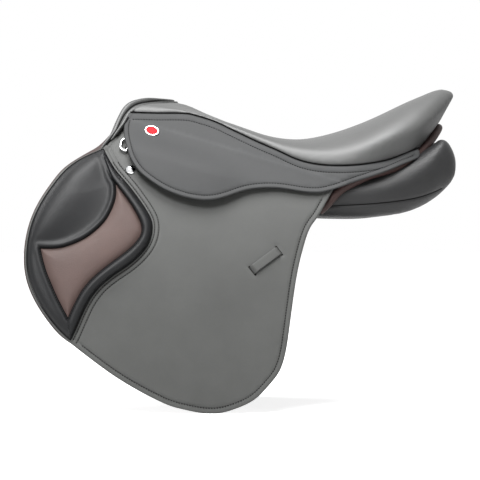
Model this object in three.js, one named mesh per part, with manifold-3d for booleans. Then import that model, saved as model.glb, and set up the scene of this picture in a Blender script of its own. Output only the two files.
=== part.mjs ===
// A jumping saddle with a 17.5 inch seat, in millimetres.
// +X runs towards the cantle, -Y is the near (left) side and +Z is up. The origin is on the centre
// plane, level with the bottom of the flaps and midway along the saddle. Every paired piece is built
// once, for the left, and mirrored.
import * as THREE from "three";
import { mergeVertices } from "three/addons/utils/BufferGeometryUtils.js";
import Module from "manifold-3d";

const wasm = await Module();
wasm.setup();

// ---- Driving dimensions -------------------------------------------------------------------------
const FOLD_FRONT = { x: -170, y: 50, z: 416 }; // front end of the line that the flap and skirt fold on
const FOLD_REAR = { x: 144, y: 122, z: 320 };
const FLARE_Y = 200; // half width that the flaps flare out to
const FLARE_FALL = 190; // how quickly they reach it below the fold
const FOLD_GAP = 2.5; // the hanging pieces start this far below the fold line
const HEAD_GAP = 1; // the fixed pieces end this far above it

// Layers on each side, as distances out from the flap's inner face, inner first.
const SWEAT_FLAP = [-14, -11];
const BLOCK = [-10, -4.6];
const STRAP = [-8.5, -5];
const GUARD = [-3.9, -1.4];
const FLAP = [0, 4];
const PAD_BASE = 5;
const SKIRT = [5.5, 9];
const TREE_POINT = [-23, -15.5];
const GULLET_PLATE = [-26.5, -24];

const COLOURS = {
  black_leather: { color: 0x3a3b3b, roughness: 0.5, metalness: 0 },
  brown_leather: { color: 0x5a4a46, roughness: 0.6, metalness: 0 },
  tree: { color: 0x2b2d30, roughness: 0.6, metalness: 0 },
  foam: { color: 0xd8c98f, roughness: 0.95, metalness: 0 },
  webbing: { color: 0xc9c2b0, roughness: 0.9, metalness: 0 },
  steel: { color: 0xb8babd, roughness: 0.35, metalness: 0.9 },
  chrome: { color: 0xe6e8ea, roughness: 0.1, metalness: 1 },
  badge: { color: 0xd9dadc, roughness: 0.25, metalness: 0.6 },
};

// ---- Geometry helpers ---------------------------------------------------------------------------
const vec = (x, y, z) => new THREE.Vector3(x, y, z);
const lerp = THREE.MathUtils.lerp;
const clamp = THREE.MathUtils.clamp;
const range = (n) => Array.from({ length: n }, (_, i) => i);
const spline = (points) => new THREE.SplineCurve(points.map(([x, z]) => new THREE.Vector2(x, z)));
const spline3 = (points) => new THREE.CatmullRomCurve3(points.map(([x, y, z]) => vec(x, y, z)));

// A closed body from points and triangles: coincident points are merged, and it is turned to face outwards.
function body(points, triangles) {
  const keys = new Map();
  const kept = [];
  const index = points.map((p) => {
    const key = [p.x, p.y, p.z].map((c) => Math.round(c * 1000)).join();
    if (!keys.has(key)) {
      keys.set(key, kept.length);
      kept.push(p);
    }
    return keys.get(key);
  });
  const faces = triangles
    .map((t) => t.map((i) => index[i]))
    .filter(([a, b, c]) => a !== b && b !== c && c !== a);
  const volume = faces.reduce((sum, [a, b, c]) => {
    return sum + kept[a].dot(vec(0, 0, 0).crossVectors(kept[b], kept[c]));
  }, 0);
  if (volume < 0) faces.forEach((f) => f.reverse());
  const geometry = new THREE.BufferGeometry().setFromPoints(kept);
  geometry.setIndex(faces.flat());
  return geometry;
}

// A solid between two grids of points, outer(u, v) and inner(u, v), with walls round the rim.
function gridSolid(outer, inner, nu, nv, endWall = true) {
  const points = [];
  const row = nv + 1;
  for (const grid of [outer, inner]) {
    range(nu + 1).forEach((i) => range(row).forEach((j) => points.push(grid(i / nu, j / nv))));
  }
  const at = (i, j) => i * row + j;
  const below = (nu + 1) * row;
  const triangles = [];
  const quad = (a, b, c, d) => triangles.push([a, b, c], [a, c, d]);
  for (let i = 0; i < nu; i++) {
    for (let j = 0; j < nv; j++) {
      quad(at(i, j), at(i + 1, j), at(i + 1, j + 1), at(i, j + 1));
      quad(below + at(i, j), below + at(i, j + 1), below + at(i + 1, j + 1), below + at(i + 1, j));
    }
    quad(at(i, 0), below + at(i, 0), below + at(i + 1, 0), at(i + 1, 0));
    quad(at(i, nv), at(i + 1, nv), below + at(i + 1, nv), below + at(i, nv));
  }
  for (let j = 0; j < nv; j++) {
    quad(at(0, j), at(0, j + 1), below + at(0, j + 1), below + at(0, j));
    if (endWall) quad(at(nu, j), below + at(nu, j), below + at(nu, j + 1), at(nu, j + 1));
  }
  return body(points, triangles);
}

// A solid lofted through closed sections, with a cap at each end.
function loft(sections) {
  const n = sections[0].length;
  const points = sections.flat();
  const last = (sections.length - 1) * n;
  const triangles = [];
  for (let i = 0; i + 1 < sections.length; i++) {
    for (let j = 0; j < n; j++) {
      const k = (j + 1) % n;
      const here = i * n;
      const next = here + n;
      triangles.push([here + j, here + k, next + k], [here + j, next + k, next + j]);
    }
  }
  for (let j = 1; j + 1 < n; j++) triangles.push([0, j + 1, j], [last, last + j, last + j + 1]);
  return body(points, triangles);
}

function toSolid(geometry) {
  const bare = new THREE.BufferGeometry();
  bare.setAttribute("position", geometry.getAttribute("position"));
  if (geometry.index) bare.setIndex(geometry.index);
  const merged = mergeVertices(bare, 1e-3);
  return new wasm.Manifold(
    new wasm.Mesh({
      numProp: 3,
      vertProperties: new Float32Array(merged.attributes.position.array),
      triVerts: new Uint32Array(merged.index.array),
    }),
  );
}

function fromSolid(solid) {
  const mesh = solid.getMesh();
  const geometry = new THREE.BufferGeometry();
  geometry.setAttribute("position", new THREE.BufferAttribute(new Float32Array(mesh.vertProperties), 3));
  geometry.setIndex(new THREE.BufferAttribute(new Uint32Array(mesh.triVerts), 1));
  return geometry;
}

const cut = (geometry, ...tools) =>
  fromSolid(tools.reduce((solid, tool) => solid.subtract(toSolid(tool)), toSolid(geometry)));
const join = (...geometries) =>
  fromSolid(geometries.slice(1).reduce((solid, g) => solid.add(toSolid(g)), toSolid(geometries[0])));

// The same geometry on the other side of the saddle.
function mirrored(geometry) {
  const copy = geometry.index ? geometry.clone() : mergeVertices(geometry.clone());
  copy.scale(1, -1, 1);
  const index = copy.index.array;
  for (let i = 0; i < index.length; i += 3) [index[i + 1], index[i + 2]] = [index[i + 2], index[i + 1]];
  return copy;
}

function boxAt(size, centre) {
  return new THREE.BoxGeometry(...size).translate(...centre);
}

// A round bar along a curve, with closed ends.
function bar(curve, radius, steps, sides = 8) {
  const circle = new THREE.Shape().absarc(0, 0, radius, 0, 2 * Math.PI);
  return new THREE.ExtrudeGeometry(circle, {
    steps,
    extrudePath: curve,
    curveSegments: sides,
    bevelEnabled: false,
  });
}

// ---- The curved side of the saddle --------------------------------------------------------------
const foldShare = (x) => (x - FOLD_FRONT.x) / (FOLD_REAR.x - FOLD_FRONT.x);
const foldY = (x) => lerp(FOLD_FRONT.y, FOLD_REAR.y, foldShare(x));
const foldZ = (x) => lerp(FOLD_FRONT.z, FOLD_REAR.z, foldShare(x));

// Half width of the flap's inner face at a point seen from the side.
function sideWidth(x, z) {
  return foldY(x) + (FLARE_Y - foldY(x)) * (1 - Math.exp((z - foldZ(x)) / FLARE_FALL));
}

function sideSlope(x, z) {
  const step = 0.5;
  return {
    x: (sideWidth(x + step, z) - sideWidth(x - step, z)) / (2 * step),
    z: (sideWidth(x, z + step) - sideWidth(x, z - step)) / (2 * step),
  };
}

// The point of the left side at (x, z), a distance out from the flap's inner face.
function onSide(x, z, out) {
  const slope = sideSlope(x, z);
  return vec(x, -(sideWidth(x, z) + out * Math.hypot(1, slope.x, slope.z)), z);
}

function sideNormal(x, z) {
  const slope = sideSlope(x, z);
  return vec(-slope.x, -1, -slope.z).normalize();
}

// Puts a geometry on the left side: its Y points out of the surface and its X runs back along the
// fold, turned by spin.
function placeOnSide(geometry, x, z, out, spin = 0) {
  const outward = sideNormal(x, z);
  const fold = vec(FOLD_REAR.x - FOLD_FRONT.x, FOLD_FRONT.y - FOLD_REAR.y, FOLD_REAR.z - FOLD_FRONT.z);
  const along = fold.addScaledVector(outward, -fold.dot(outward)).normalize();
  along.applyAxisAngle(outward, spin);
  const across = vec(0, 0, 0).crossVectors(along, outward);
  const frame = new THREE.Matrix4().makeBasis(along, outward, across);
  frame.setPosition(onSide(x, z, 0).addScaledVector(outward, out));
  return geometry.applyMatrix4(frame);
}

// A sheet on the left side between a top and a bottom curve, seen from the side. Its layer's limits
// can be functions of (x, z, u, v).
function sideSheet(top, bottom, [inner, outer], nu, nv) {
  const level = (limit, x, z, u, v) => (typeof limit === "function" ? limit(x, z, u, v) : limit);
  const grid = (limit) => (u, v) => {
    const p = top(u).clone().lerp(bottom(u), v);
    return onSide(p.x, p.y, level(limit, p.x, p.y, u, v));
  };
  return gridSolid(grid(outer), grid(inner), nu, nv);
}

const foldLine = (x0, x1, rise) => (u) => {
  const x = lerp(x0, x1, u);
  return new THREE.Vector2(x, foldZ(x) + rise);
};
const along = (curve) => (u) => curve.getPointAt(clamp(u, 0, 1));

// ---- Outlines seen from the side: x, z ----------------------------------------------------------
const FLAP_OUTLINE = spline([
  [-160, 407], [-168, 391], [-178, 377], [-192, 367], [-214, 359], [-245, 346], [-270, 323],
  [-291, 292], [-304, 252], [-306.5, 215], [-300, 188], [-291, 165], [-278, 139], [-258, 117],
  [-237, 99], [-212, 78], [-170, 49], [-129, 24.5], [-87, 7], [-45, -0.4], [-8, 7], [17, 20], [36, 39],
  [52, 61], [61, 92], [67, 138], [73, 178], [83, 225], [93, 254], [103, 270], [113, 288], [121, 310],
]);
const SKIRT_OUTLINE = spline([
  [-164, 410], [-169.5, 398], [-168, 384], [-163.5, 366], [-156, 350], [-146, 337], [-125, 320.5],
  [-110, 312], [-92, 304], [-74, 299], [-52, 296.5], [-32, 299], [-8, 307], [12, 312.3], [36, 314.3],
  [65, 311.6], [85, 308.4], [103, 307.2], [120, 310], [138, 315],
]);
const SWEAT_FLAP_OUTLINE = spline([
  [-190, 366], [-204, 362], [-226, 357], [-248, 347], [-273, 324], [-294, 292], [-306.5, 252],
  [-308.5, 215], [-302, 186], [-286, 152], [-262, 122], [-225, 92], [-175, 68], [-120, 56], [-70, 60],
  [-25, 80], [10, 115], [35, 160], [50, 215], [57, 262], [62, 292],
]);
const PAD_FRONT = spline([
  [-203, 361], [-223, 353], [-243, 342], [-266, 320], [-286, 290], [-299, 252], [-301.5, 216], [-295, 189],
  [-286, 166], [-273, 142], [-254, 121], [-241, 107],
]);
const PAD_REAR = spline([
  [-199, 362], [-184, 344], [-168, 325], [-154, 308], [-141, 290], [-130, 272], [-127, 258], [-129, 242],
  [-140, 224], [-159, 206], [-180, 192], [-201, 174.5], [-215, 155], [-224, 136], [-233, 112], [-238, 104],
]);
const INSERT_UPPER = spline([
  [-282, 229], [-258, 230], [-237, 236], [-219, 245], [-203, 258], [-191, 272], [-183, 290], [-180, 306],
  [-180, 318],
]);
const INSERT_LOWER = spline([
  [-280, 224], [-275, 201], [-266, 178], [-256, 157], [-243, 135], [-238, 143], [-230, 159], [-219, 176],
  [-202, 194], [-180, 211], [-159, 227], [-145, 243], [-141.5, 256], [-144, 266], [-150, 280], [-162, 298],
  [-178, 317],
]);

// ---- Seat ------------------------------------------------------------------------------------------
// Three curves from pommel to cantle tip: centre line, rim and lower edge, as x, y, z.
const SEAT_CENTRE = spline3([
  [-76, 0, 441], [-63, 0, 439.5], [-45, 0, 434], [-20, 0, 423], [10, 0, 407.5], [42, 0, 392.8],
  [75, 0, 384], [105, 0, 385.2], [138, 0, 397], [170, 0, 413], [201, 0, 428.5], [230, 0, 440.5],
  [255, 0, 450], [277, 0, 456.3], [295, 0, 458.3], [307, 0, 453],
]);
const SEAT_RIM = spline3([
  [-156, 54, 420], [-121, 55, 420], [-84, 56, 420], [-42, 63, 414.5], [0, 78, 397.5], [36, 93, 379],
  [70, 104, 363.5], [105, 112, 357.5], [140, 117, 356], [172, 117.5, 359.5], [201, 113.5, 369.5],
  [228, 106, 384], [250, 94, 397.5], [272, 74, 414], [294, 44, 434.5], [307, 0, 453],
]);
const SEAT_EDGE = spline3([
  [-157, 56, 417], [-122, 57, 416.5], [-85, 58.5, 416], [-42, 65, 410.5], [0, 80.5, 392.5],
  [36, 95.5, 373.5], [70, 107.5, 357], [105, 115, 349.2], [137, 119, 346.5], [166, 117.5, 348],
  [193, 108, 354], [220, 96, 361.5], [243, 80, 370], [264, 58, 385], [281, 32, 402], [289, 0, 411],
]);
const RIM_AT = 0.8; // share of the half section that is the top; the rest turns under to the lower edge
const COVER = 3;
const CANTLE_FROM = 0.6; // share of the length where insets start to move forwards too

// A point of the seat's surface, sunk by inset. v runs from -1 (left lower edge) over the top to 1
// (right lower edge).
function seatPoint(u, v, inset = 0, drop = 0) {
  const back = THREE.MathUtils.smoothstep(u, CANTLE_FROM, 1);
  const centre = SEAT_CENTRE.getPoint(u);
  centre.add(vec(-1.3 * inset * back, 0, -inset * lerp(1, 0.8, back) - drop));
  const rim = SEAT_RIM.getPoint(u).add(vec(-1.3 * inset * back, 0, -0.8 * inset * back - drop));
  rim.y = Math.max(0, rim.y - inset * Math.min(1, rim.y / 20));
  const share = Math.abs(v);
  let point;
  if (share <= RIM_AT) {
    const out = share / RIM_AT;
    point = centre.clone().lerp(rim, out);
    point.z = rim.z + (centre.z - rim.z) * Math.sqrt(Math.max(0, 1 - out ** 2.4));
  } else {
    const edge = SEAT_EDGE.getPoint(u).add(vec(-1.3 * inset * back, 0, -drop));
    edge.y = Math.max(0, edge.y - inset * Math.min(1, edge.y / 20));
    point = rim.clone().lerp(edge, (share - RIM_AT) / (1 - RIM_AT));
  }
  point.y *= Math.sign(v) || 0;
  return point;
}

function seatCover() {
  const grid = (inset) => (u, w) => seatPoint(u, 2 * w - 1, inset);
  return gridSolid(grid(0), grid(COVER), 20, 12, false);
}

// The foam is thin at the pommel, thickest under the dip and thinner again at the cantle.
function foamDepth(u) {
  const dip = 15 * THREE.MathUtils.smoothstep(u, 0.1, 0.45);
  return 7 + dip - 6 * THREE.MathUtils.smoothstep(u, 0.7, 1);
}

const FOAM_REACH = 0.55; // share of the half section that the foam fills
function seatFoam() {
  const span = (u) => lerp(0.03, 0.9, u);
  const grid = (isTop) => (u, w) => {
    const at = span(u);
    const v = (2 * w - 1) * FOAM_REACH;
    return seatPoint(at, v, COVER + 1.5, isTop ? 0 : foamDepth(at));
  };
  return gridSolid(grid(true), grid(false), 12, 8);
}

// The ground seat: a web sheet under the foam, and below it the tree.
const webDrop = (u) => foamDepth(u) + 1.8;
const TREE_THICK = 10;
const TREE_REACH = 0.58; // share of the half section that the tree's plate covers

function groundWeb() {
  const grid = (extra) => (u, w) => {
    const at = lerp(0.16, 0.84, u);
    return seatPoint(at, (2 * w - 1) * 0.5, COVER + 1, webDrop(at) + extra);
  };
  return gridSolid(grid(0), grid(2), 12, 4);
}

const POINT_FOOT_Z = 300;
const POINT_TOP_Z = 420;
// The tree's points and the gullet plate lean forwards as they go down, like the head they follow.
const headX = (z, crownX, lean) => crownX - lean * (POINT_TOP_Z - z);

function treePoint() {
  const edge = (crownX) => (u) => {
    const z = lerp(POINT_TOP_Z, POINT_FOOT_Z, u);
    return new THREE.Vector2(headX(z, crownX, 0.12), z);
  };
  return sideSheet(edge(-152), edge(-110), TREE_POINT, 6, 2);
}

function tree() {
  const grid = (extra) => (u, w) => {
    const at = lerp(0.035, 0.87, u);
    return seatPoint(at, (2 * w - 1) * TREE_REACH, COVER + 1, webDrop(at) + 4.4 + extra);
  };
  const plate = gridSolid(grid(0), grid(TREE_THICK), 12, 6);
  const opening = new THREE.Shape().absellipse(85, 0, 112, 42, 0, 2 * Math.PI);
  const well = new THREE.ExtrudeGeometry(opening, { depth: 300, curveSegments: 12, bevelEnabled: false });
  well.translate(0, 0, 250);
  const left = treePoint();
  return cut(join(plate, left, mirrored(left)), well);
}

// ---- Head: rolled welts round the cut-back arch -------------------------------------------------
const WELT_RADIUS = 3.6;
function headWelt(half) {
  const left = half.map(([x, y, z]) => [x, -y, z]).reverse();
  return bar(spline3([...left, ...half.slice(1)]), WELT_RADIUS, 24, 4);
}
const FRONT_WELT = [
  [-105, 0, 442.5], [-122, 11, 444], [-139, 22, 443.5], [-157, 34, 439.5], [-171, 44, 431], [-180, 54, 419],
  [-189, 65, 400.5], [-198, 76, 383], [-202, 80, 374],
];
const REAR_WELT = [
  [-87, 0, 439.5], [-104, 12, 440], [-121, 24, 438], [-140, 36, 433], [-156, 46.5, 425], [-168, 56, 412],
  [-178, 66, 396], [-189, 77, 379],
];

// A steel strip over the horse's withers, screwed under the tree.
const GULLET_WIDTH = 26;
const GULLET_CROWN_X = -78;
const GULLET_LEAN = 0.66;
const SCREW_Z = 326;
function gulletPlate() {
  const crownZ = 402;
  const footZ = 312;
  const legTopZ = 388;
  const arch = (t, out) => {
    // t runs from the left foot over the crown to the right foot
    const rise = 1 - Math.abs(2 * t - 1);
    const share = clamp(rise / 0.7, 0, 1);
    const z = lerp(footZ, legTopZ, share);
    const x = headX(z, GULLET_CROWN_X, GULLET_LEAN);
    const foot = onSide(x, z, out);
    const bend = clamp((rise - 0.7) / 0.3, 0, 1);
    const y = foot.y * Math.cos((bend * Math.PI) / 2);
    const top = lerp(z, crownZ + (out - GULLET_PLATE[0]), Math.sin((bend * Math.PI) / 2));
    return vec(x + GULLET_LEAN * (top - z), t < 0.5 ? y : -y, top);
  };
  const grid = (out) => (u, v) => arch(u, out).add(vec(lerp(-0.5, 0.5, v) * GULLET_WIDTH, 0, 0));
  return gridSolid(grid(GULLET_PLATE[1]), grid(GULLET_PLATE[0]), 22, 1);
}

function screwTool(radius, from, to) {
  const x = headX(SCREW_Z, GULLET_CROWN_X, GULLET_LEAN);
  const shank = new THREE.CylinderGeometry(radius, radius, to - from, 12);
  return placeOnSide(shank, x, SCREW_Z, (from + to) / 2);
}
const gulletScrew = () =>
  join(
    screwTool(2.2, GULLET_PLATE[0] - 1, TREE_POINT[0] + 5),
    screwTool(4.2, GULLET_PLATE[0] - 3, GULLET_PLATE[0] - 0.4),
  );
const screwHole = () => screwTool(2.6, GULLET_PLATE[0] - 2, TREE_POINT[0] + 6);

// ---- Panels -------------------------------------------------------------------------------------
// Stations of the left panel: x, centre y, centre z, half length across, half thickness, tilt in degrees.
const PANEL_STATIONS = [
  [-198, 68, 322, 30, 3, 60], [-192, 66, 323, 42, 8, 60], [-170, 62, 325, 50, 10, 60],
  [-120, 57, 329, 52, 11, 59], [-60, 56, 333, 46, 15, 52], [0, 60, 324, 38, 20, 38],
  [55, 64, 311, 37, 25, 26], [95, 71, 304, 42, 28, 22], [137, 76, 305, 46, 30, 20],
  [172, 78, 307, 48, 31, 19], [208, 76, 312, 46, 33, 17], [237, 70, 320, 43, 37, 14],
  [264, 63, 335, 38, 42, 10], [284, 58, 349, 32, 41, 6], [298, 56, 353, 25, 33, 3],
  [305, 56, 351, 15, 20, 0], [308.6, 56, 350, 4, 6, 0],
];
const PANEL_SIDES = 12;
const PANEL_ROUND = 0.62; // exponent of the rounded-box section
const REST_TILT = 24; // slope of the flat bearing face, degrees
const REST_POINT = { x: 120, y: 80, z: 276 };

function panelSection([x, y, z, reach, thick, tilt]) {
  const turn = THREE.MathUtils.degToRad(tilt);
  return range(PANEL_SIDES).map((i) => {
    const angle = (2 * Math.PI * i) / PANEL_SIDES;
    const across = reach * Math.sign(Math.cos(angle)) * Math.abs(Math.cos(angle)) ** PANEL_ROUND;
    const up = thick * Math.sign(Math.sin(angle)) * Math.abs(Math.sin(angle)) ** PANEL_ROUND;
    const out = across * Math.cos(turn) + up * Math.sin(turn);
    return vec(x, -(y + out), z - across * Math.sin(turn) + up * Math.cos(turn));
  });
}

// The flat face that lies on the horse's back is cut by one plane.
function panelRestTool() {
  const size = 400;
  const tool = new THREE.BoxGeometry(size, size, size).translate(0, 0, -size / 2);
  tool.rotateX(THREE.MathUtils.degToRad(REST_TILT));
  return tool.translate(REST_POINT.x, -REST_POINT.y, REST_POINT.z);
}

const FACING_RADIUS = 5.5;
// The rolled brown facing between the panel's top and the seat's rear edge.
const FACING_HALF = [
  [289, 0, 402], [283, 22, 396], [271, 44, 383], [255, 62, 364], [231, 78, 346], [200, 92, 332.5],
  [165, 104, 321], [137, 109, 310], [118, 110, 298], [106, 108, 284],
];
const facingCurve = spline3([
  ...FACING_HALF.slice(1).map(([x, y, z]) => [x, -y, z]).reverse(),
  ...FACING_HALF,
]);
const rearFacing = () => bar(facingCurve, FACING_RADIUS, 24, 4);
const facingTool = () => bar(facingCurve, FACING_RADIUS + 1.6, 24, 3);

function panel() {
  const screwPocket = screwTool(5.5, GULLET_PLATE[0] - 9, GULLET_PLATE[0]);
  return cut(loft(PANEL_STATIONS.map(panelSection)), panelRestTool(), facingTool(), screwPocket);
}

// A leather channel lining that joins the two panels over the gullet.
function gulletLining() {
  const line = spline([[-60, 384], [0, 360], [60, 340], [110, 335], [160, 342], [210, 356], [250, 376]]);
  const grid = (drop) => (u, v) => {
    const p = line.getPoint(u);
    const y = lerp(-26, 26, v);
    return vec(p.x, y, p.y - drop - 6 * (y / 26) ** 2);
  };
  return gridSolid(grid(0), grid(2), 14, 4);
}

// ---- Left side, leather -------------------------------------------------------------------------
const BAR_X = -108;
const BAR_Z = 358;
const BAR_HEIGHT = 12;
// The window that the stirrup bar stands through, and the two slits that the keeper passes through.
function barWindow() {
  const y = -sideWidth(BAR_X, BAR_Z);
  return boxAt([94, 60, 34], [BAR_X + 6, y, BAR_Z - 1]);
}
const KEEPER = { x: 33, z: 211, length: 44, width: 13, spin: 0.99, thick: 2 };
function keeperSlits() {
  return [-1, 1].map((end) => {
    const slit = new THREE.BoxGeometry(4, 30, KEEPER.width + 3);
    slit.translate((end * KEEPER.length) / 2, 0, 0);
    return placeOnSide(slit, KEEPER.x, KEEPER.z, 2, KEEPER.spin);
  });
}
function keeper() {
  const half = KEEPER.length / 2;
  const over = new THREE.BoxGeometry(KEEPER.length + KEEPER.thick, KEEPER.thick, KEEPER.width);
  over.translate(0, FLAP[1] + 1 + KEEPER.thick / 2, 0);
  const legs = [-1, 1].map((end) => {
    const leg = new THREE.BoxGeometry(KEEPER.thick, FLAP[1] + 5, KEEPER.width);
    return leg.translate(end * half, FLAP[1] / 2, 0);
  });
  const feet = [-1, 1].map((end) => {
    const foot = new THREE.BoxGeometry(10, 1.2, KEEPER.width);
    return foot.translate(end * (half + 4), -1.7, 0);
  });
  return placeOnSide(join(over, ...legs, ...feet), KEEPER.x, KEEPER.z, 0, KEEPER.spin);
}

const STUD = { x: -164, z: 340 };
const DEE = { x: -173, z: 379, straight: 20, reach: 9, wire: 1.5 };
function studShank(radius) {
  return placeOnSide(new THREE.CylinderGeometry(radius, radius, 8, 12), STUD.x, STUD.z, 3);
}
function stud() {
  const profile = [[0, 0], [5.5, 0], [5.5, 0.8], [4.6, 2.4], [2.8, 3.6], [0, 4.1]];
  const dome = new THREE.LatheGeometry(profile.map(([r, h]) => new THREE.Vector2(r, h)), 16);
  return join(placeOnSide(dome, STUD.x, STUD.z, FLAP[1] + 0.5), studShank(2));
}

function flap() {
  const sheet = sideSheet(foldLine(-157, 121, -FOLD_GAP), along(FLAP_OUTLINE), FLAP, 28, 7);
  return cut(sheet, barWindow(), ...keeperSlits(), studShank(2.4));
}
const flapHead = () => sideSheet(foldLine(-115, 30, 3), foldLine(-115, 30, HEAD_GAP), FLAP, 8, 1);

// The skirt swells over the stirrup bar.
const SWELL = { x: -101, z: 359, height: 13, length: 68, depth: 32 };
function skirtSwell(x, z) {
  const far = ((x - SWELL.x) / SWELL.length) ** 4 + ((z - SWELL.z) / SWELL.depth) ** 4;
  return SWELL.height * Math.exp(-far) * clamp((foldZ(x) - z) / 12, 0, 1);
}
function skirt() {
  const layer = SKIRT.map((out) => (x, z) => out + skirtSwell(x, z));
  return sideSheet(foldLine(-160, 137, -FOLD_GAP), along(SKIRT_OUTLINE), layer, 22, 5);
}

// The fixed top of the skirt, sewn under the seat, with the tail that runs back under the cantle.
const SKIRT_TOP = spline3([
  [-154, 55.5, 414], [-121, 56.5, 414.5], [-85, 58, 414], [-42, 64.5, 408.5], [0, 80, 390.5], [36, 95, 371.5],
  [70, 107, 355], [105, 114.5, 347.2], [137, 118.5, 344.5], [166, 116.5, 345.5], [193, 107, 351.5],
  [220, 95, 359], [243, 79.5, 367.5],
]);
const SKIRT_TAIL = spline3([
  [155, 130, 322.5], [170, 129, 325.5], [197, 122, 336], [224, 108, 348], [246, 88, 361],
]);
const HEAD_THICK = 2.6;
function skirtHead() {
  const tailFrom = 0.72;
  const lower = (u) => {
    if (u > tailFrom) return SKIRT_TAIL.getPoint((u - tailFrom) / (1 - tailFrom));
    const x = lerp(-154, 142, u / tailFrom);
    const p = onSide(x, foldZ(x) + HEAD_GAP, SKIRT[1]);
    return vec(p.x, -p.y, p.z);
  };
  const grid = (inset) => (u, v) => {
    const p = SKIRT_TOP.getPoint(u).lerp(lower(u), v);
    return vec(p.x, -(p.y - inset), p.z);
  };
  return gridSolid(grid(0), grid(HEAD_THICK), 22, 2);
}

function sweatFlap() {
  const top = (u) => new THREE.Vector2(-182, 357).lerp(new THREE.Vector2(60, 294), u);
  return sideSheet(top, along(SWEAT_FLAP_OUTLINE), SWEAT_FLAP, 20, 5);
}

const PAD_HEIGHT = 20;
// The insert's outline, drawn in from both edges by a share of its width, and from its ends by a
// share of its length.
function insertLayer(inner, outer, margin, from, to) {
  const edge = (near, far) => (share) => {
    const u = lerp(from, to, share);
    return along(near)(u).clone().lerp(along(far)(u), margin);
  };
  const upper = edge(INSERT_UPPER, INSERT_LOWER);
  const lower = edge(INSERT_LOWER, INSERT_UPPER);
  return sideSheet(upper, lower, [inner, outer], 12, 3);
}
function kneePad() {
  const crown = (u, v) => Math.sin(Math.PI * v) ** 0.7 * Math.sin(Math.PI * u) ** 0.35;
  const height = (x, z, u, v) => PAD_BASE + 2 + (PAD_HEIGHT - 2) * crown(u, v);
  const pad = sideSheet(along(PAD_FRONT), along(PAD_REAR), [PAD_BASE, height], 16, 5);
  return cut(pad, insertLayer(PAD_BASE + 6.5, 80, -0.05, 0, 1));
}
const kneeInsert = () => insertLayer(PAD_BASE + 8, PAD_BASE + 13, 0.05, 0.08, 0.9);

// A shaped block under the flap, on the sweat flap.
function hiddenBlock(front, rear) {
  const crown = (v) => 0.35 + 0.65 * Math.sin(Math.PI * v) ** 0.6;
  const height = (x, z, u, v) => lerp(BLOCK[0], BLOCK[1], crown(v));
  return sideSheet(along(spline(front)), along(spline(rear)), [BLOCK[0], height], 8, 3);
}
const kneeRoll = () =>
  hiddenBlock(
    [[-238, 335], [-268, 300], [-284, 250], [-282, 205], [-262, 165], [-238, 142]],
    [[-208, 340], [-222, 302], [-232, 255], [-232, 215], [-226, 180], [-222, 152]],
  );
const thighBlock = () =>
  hiddenBlock(
    [[4, 268], [12, 230], [14, 190], [8, 150], [-2, 122]],
    [[40, 266], [42, 230], [36, 186], [26, 142], [14, 112]],
  );

// ---- Left side, girth straps --------------------------------------------------------------------
const STRAP_WIDTH = 26;
const STRAP_X = [-92, -58, -24]; // centre lines
const STRAP_TOP_Z = 338;
const STRAP_FOOT_Z = 92;
function girthStrap(centreX) {
  const half = STRAP_WIDTH / 2;
  const edge = (side) => (u) => {
    const narrow = side * half * Math.sqrt(clamp((1 - u) / 0.07, 0.05, 1));
    return new THREE.Vector2(centreX + narrow, lerp(STRAP_TOP_Z, STRAP_FOOT_Z, u));
  };
  return sideSheet(edge(-1), edge(1), STRAP, 12, 1);
}
const GIRTH_WEB = [-9.5, -6];
function girthWeb() {
  const edge = (side) => (u) => {
    const z = lerp(353, STRAP_TOP_Z + 3, u);
    const middle = STRAP_X[1];
    return new THREE.Vector2(middle + side * lerp(24, 47, u), z);
  };
  return sideSheet(edge(-1), edge(1), GIRTH_WEB, 2, 3);
}
const GUARD_TOP_Z = 334;
function buckleGuard() {
  const top = (u) => new THREE.Vector2(lerp(-112, -4, u), GUARD_TOP_Z);
  const outline = spline([
    [-112, 330], [-114, 300], [-108, 272], [-84, 258], [-58, 255], [-32, 258], [-10, 272], [-4, 300],
    [-4, 330],
  ]);
  return sideSheet(top, along(outline), GUARD, 10, 2);
}

// ---- Left side, metal ---------------------------------------------------------------------------
// The stirrup bar is one forged strip, seen from above a J: a plate on the tree, a neck through the
// flap, and a finger that the stirrup leather slides onto from behind.
const BAR_FINGER_OUT = 12; // outer face, from the flap's inner face at the bar
const BAR_PIVOT_X = 34; // from BAR_X
const BAR_BASE_HEIGHT = 20;
const barY = (out) => -(sideWidth(BAR_X, BAR_Z) + out);
// A block given by its ends along X, its inner and outer faces and its height.
function barBlock([x0, x1], [inner, outer], height, grow) {
  const size = [x1 - x0 + 2 * grow, outer - inner + 2 * grow, height + 2 * grow];
  return boxAt(size, [BAR_X + (x0 + x1) / 2, barY((inner + outer) / 2), BAR_Z]);
}
function barSolid(grow) {
  const base = barBlock([-36, 22], [-16, -11], BAR_BASE_HEIGHT, grow);
  const neck = barBlock([-36, -27], [-12, BAR_FINGER_OUT - 4], BAR_HEIGHT, grow);
  const finger = barBlock([-36, BAR_PIVOT_X - 6], [BAR_FINGER_OUT - 6, BAR_FINGER_OUT], BAR_HEIGHT, grow);
  return join(base, neck, finger);
}
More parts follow.
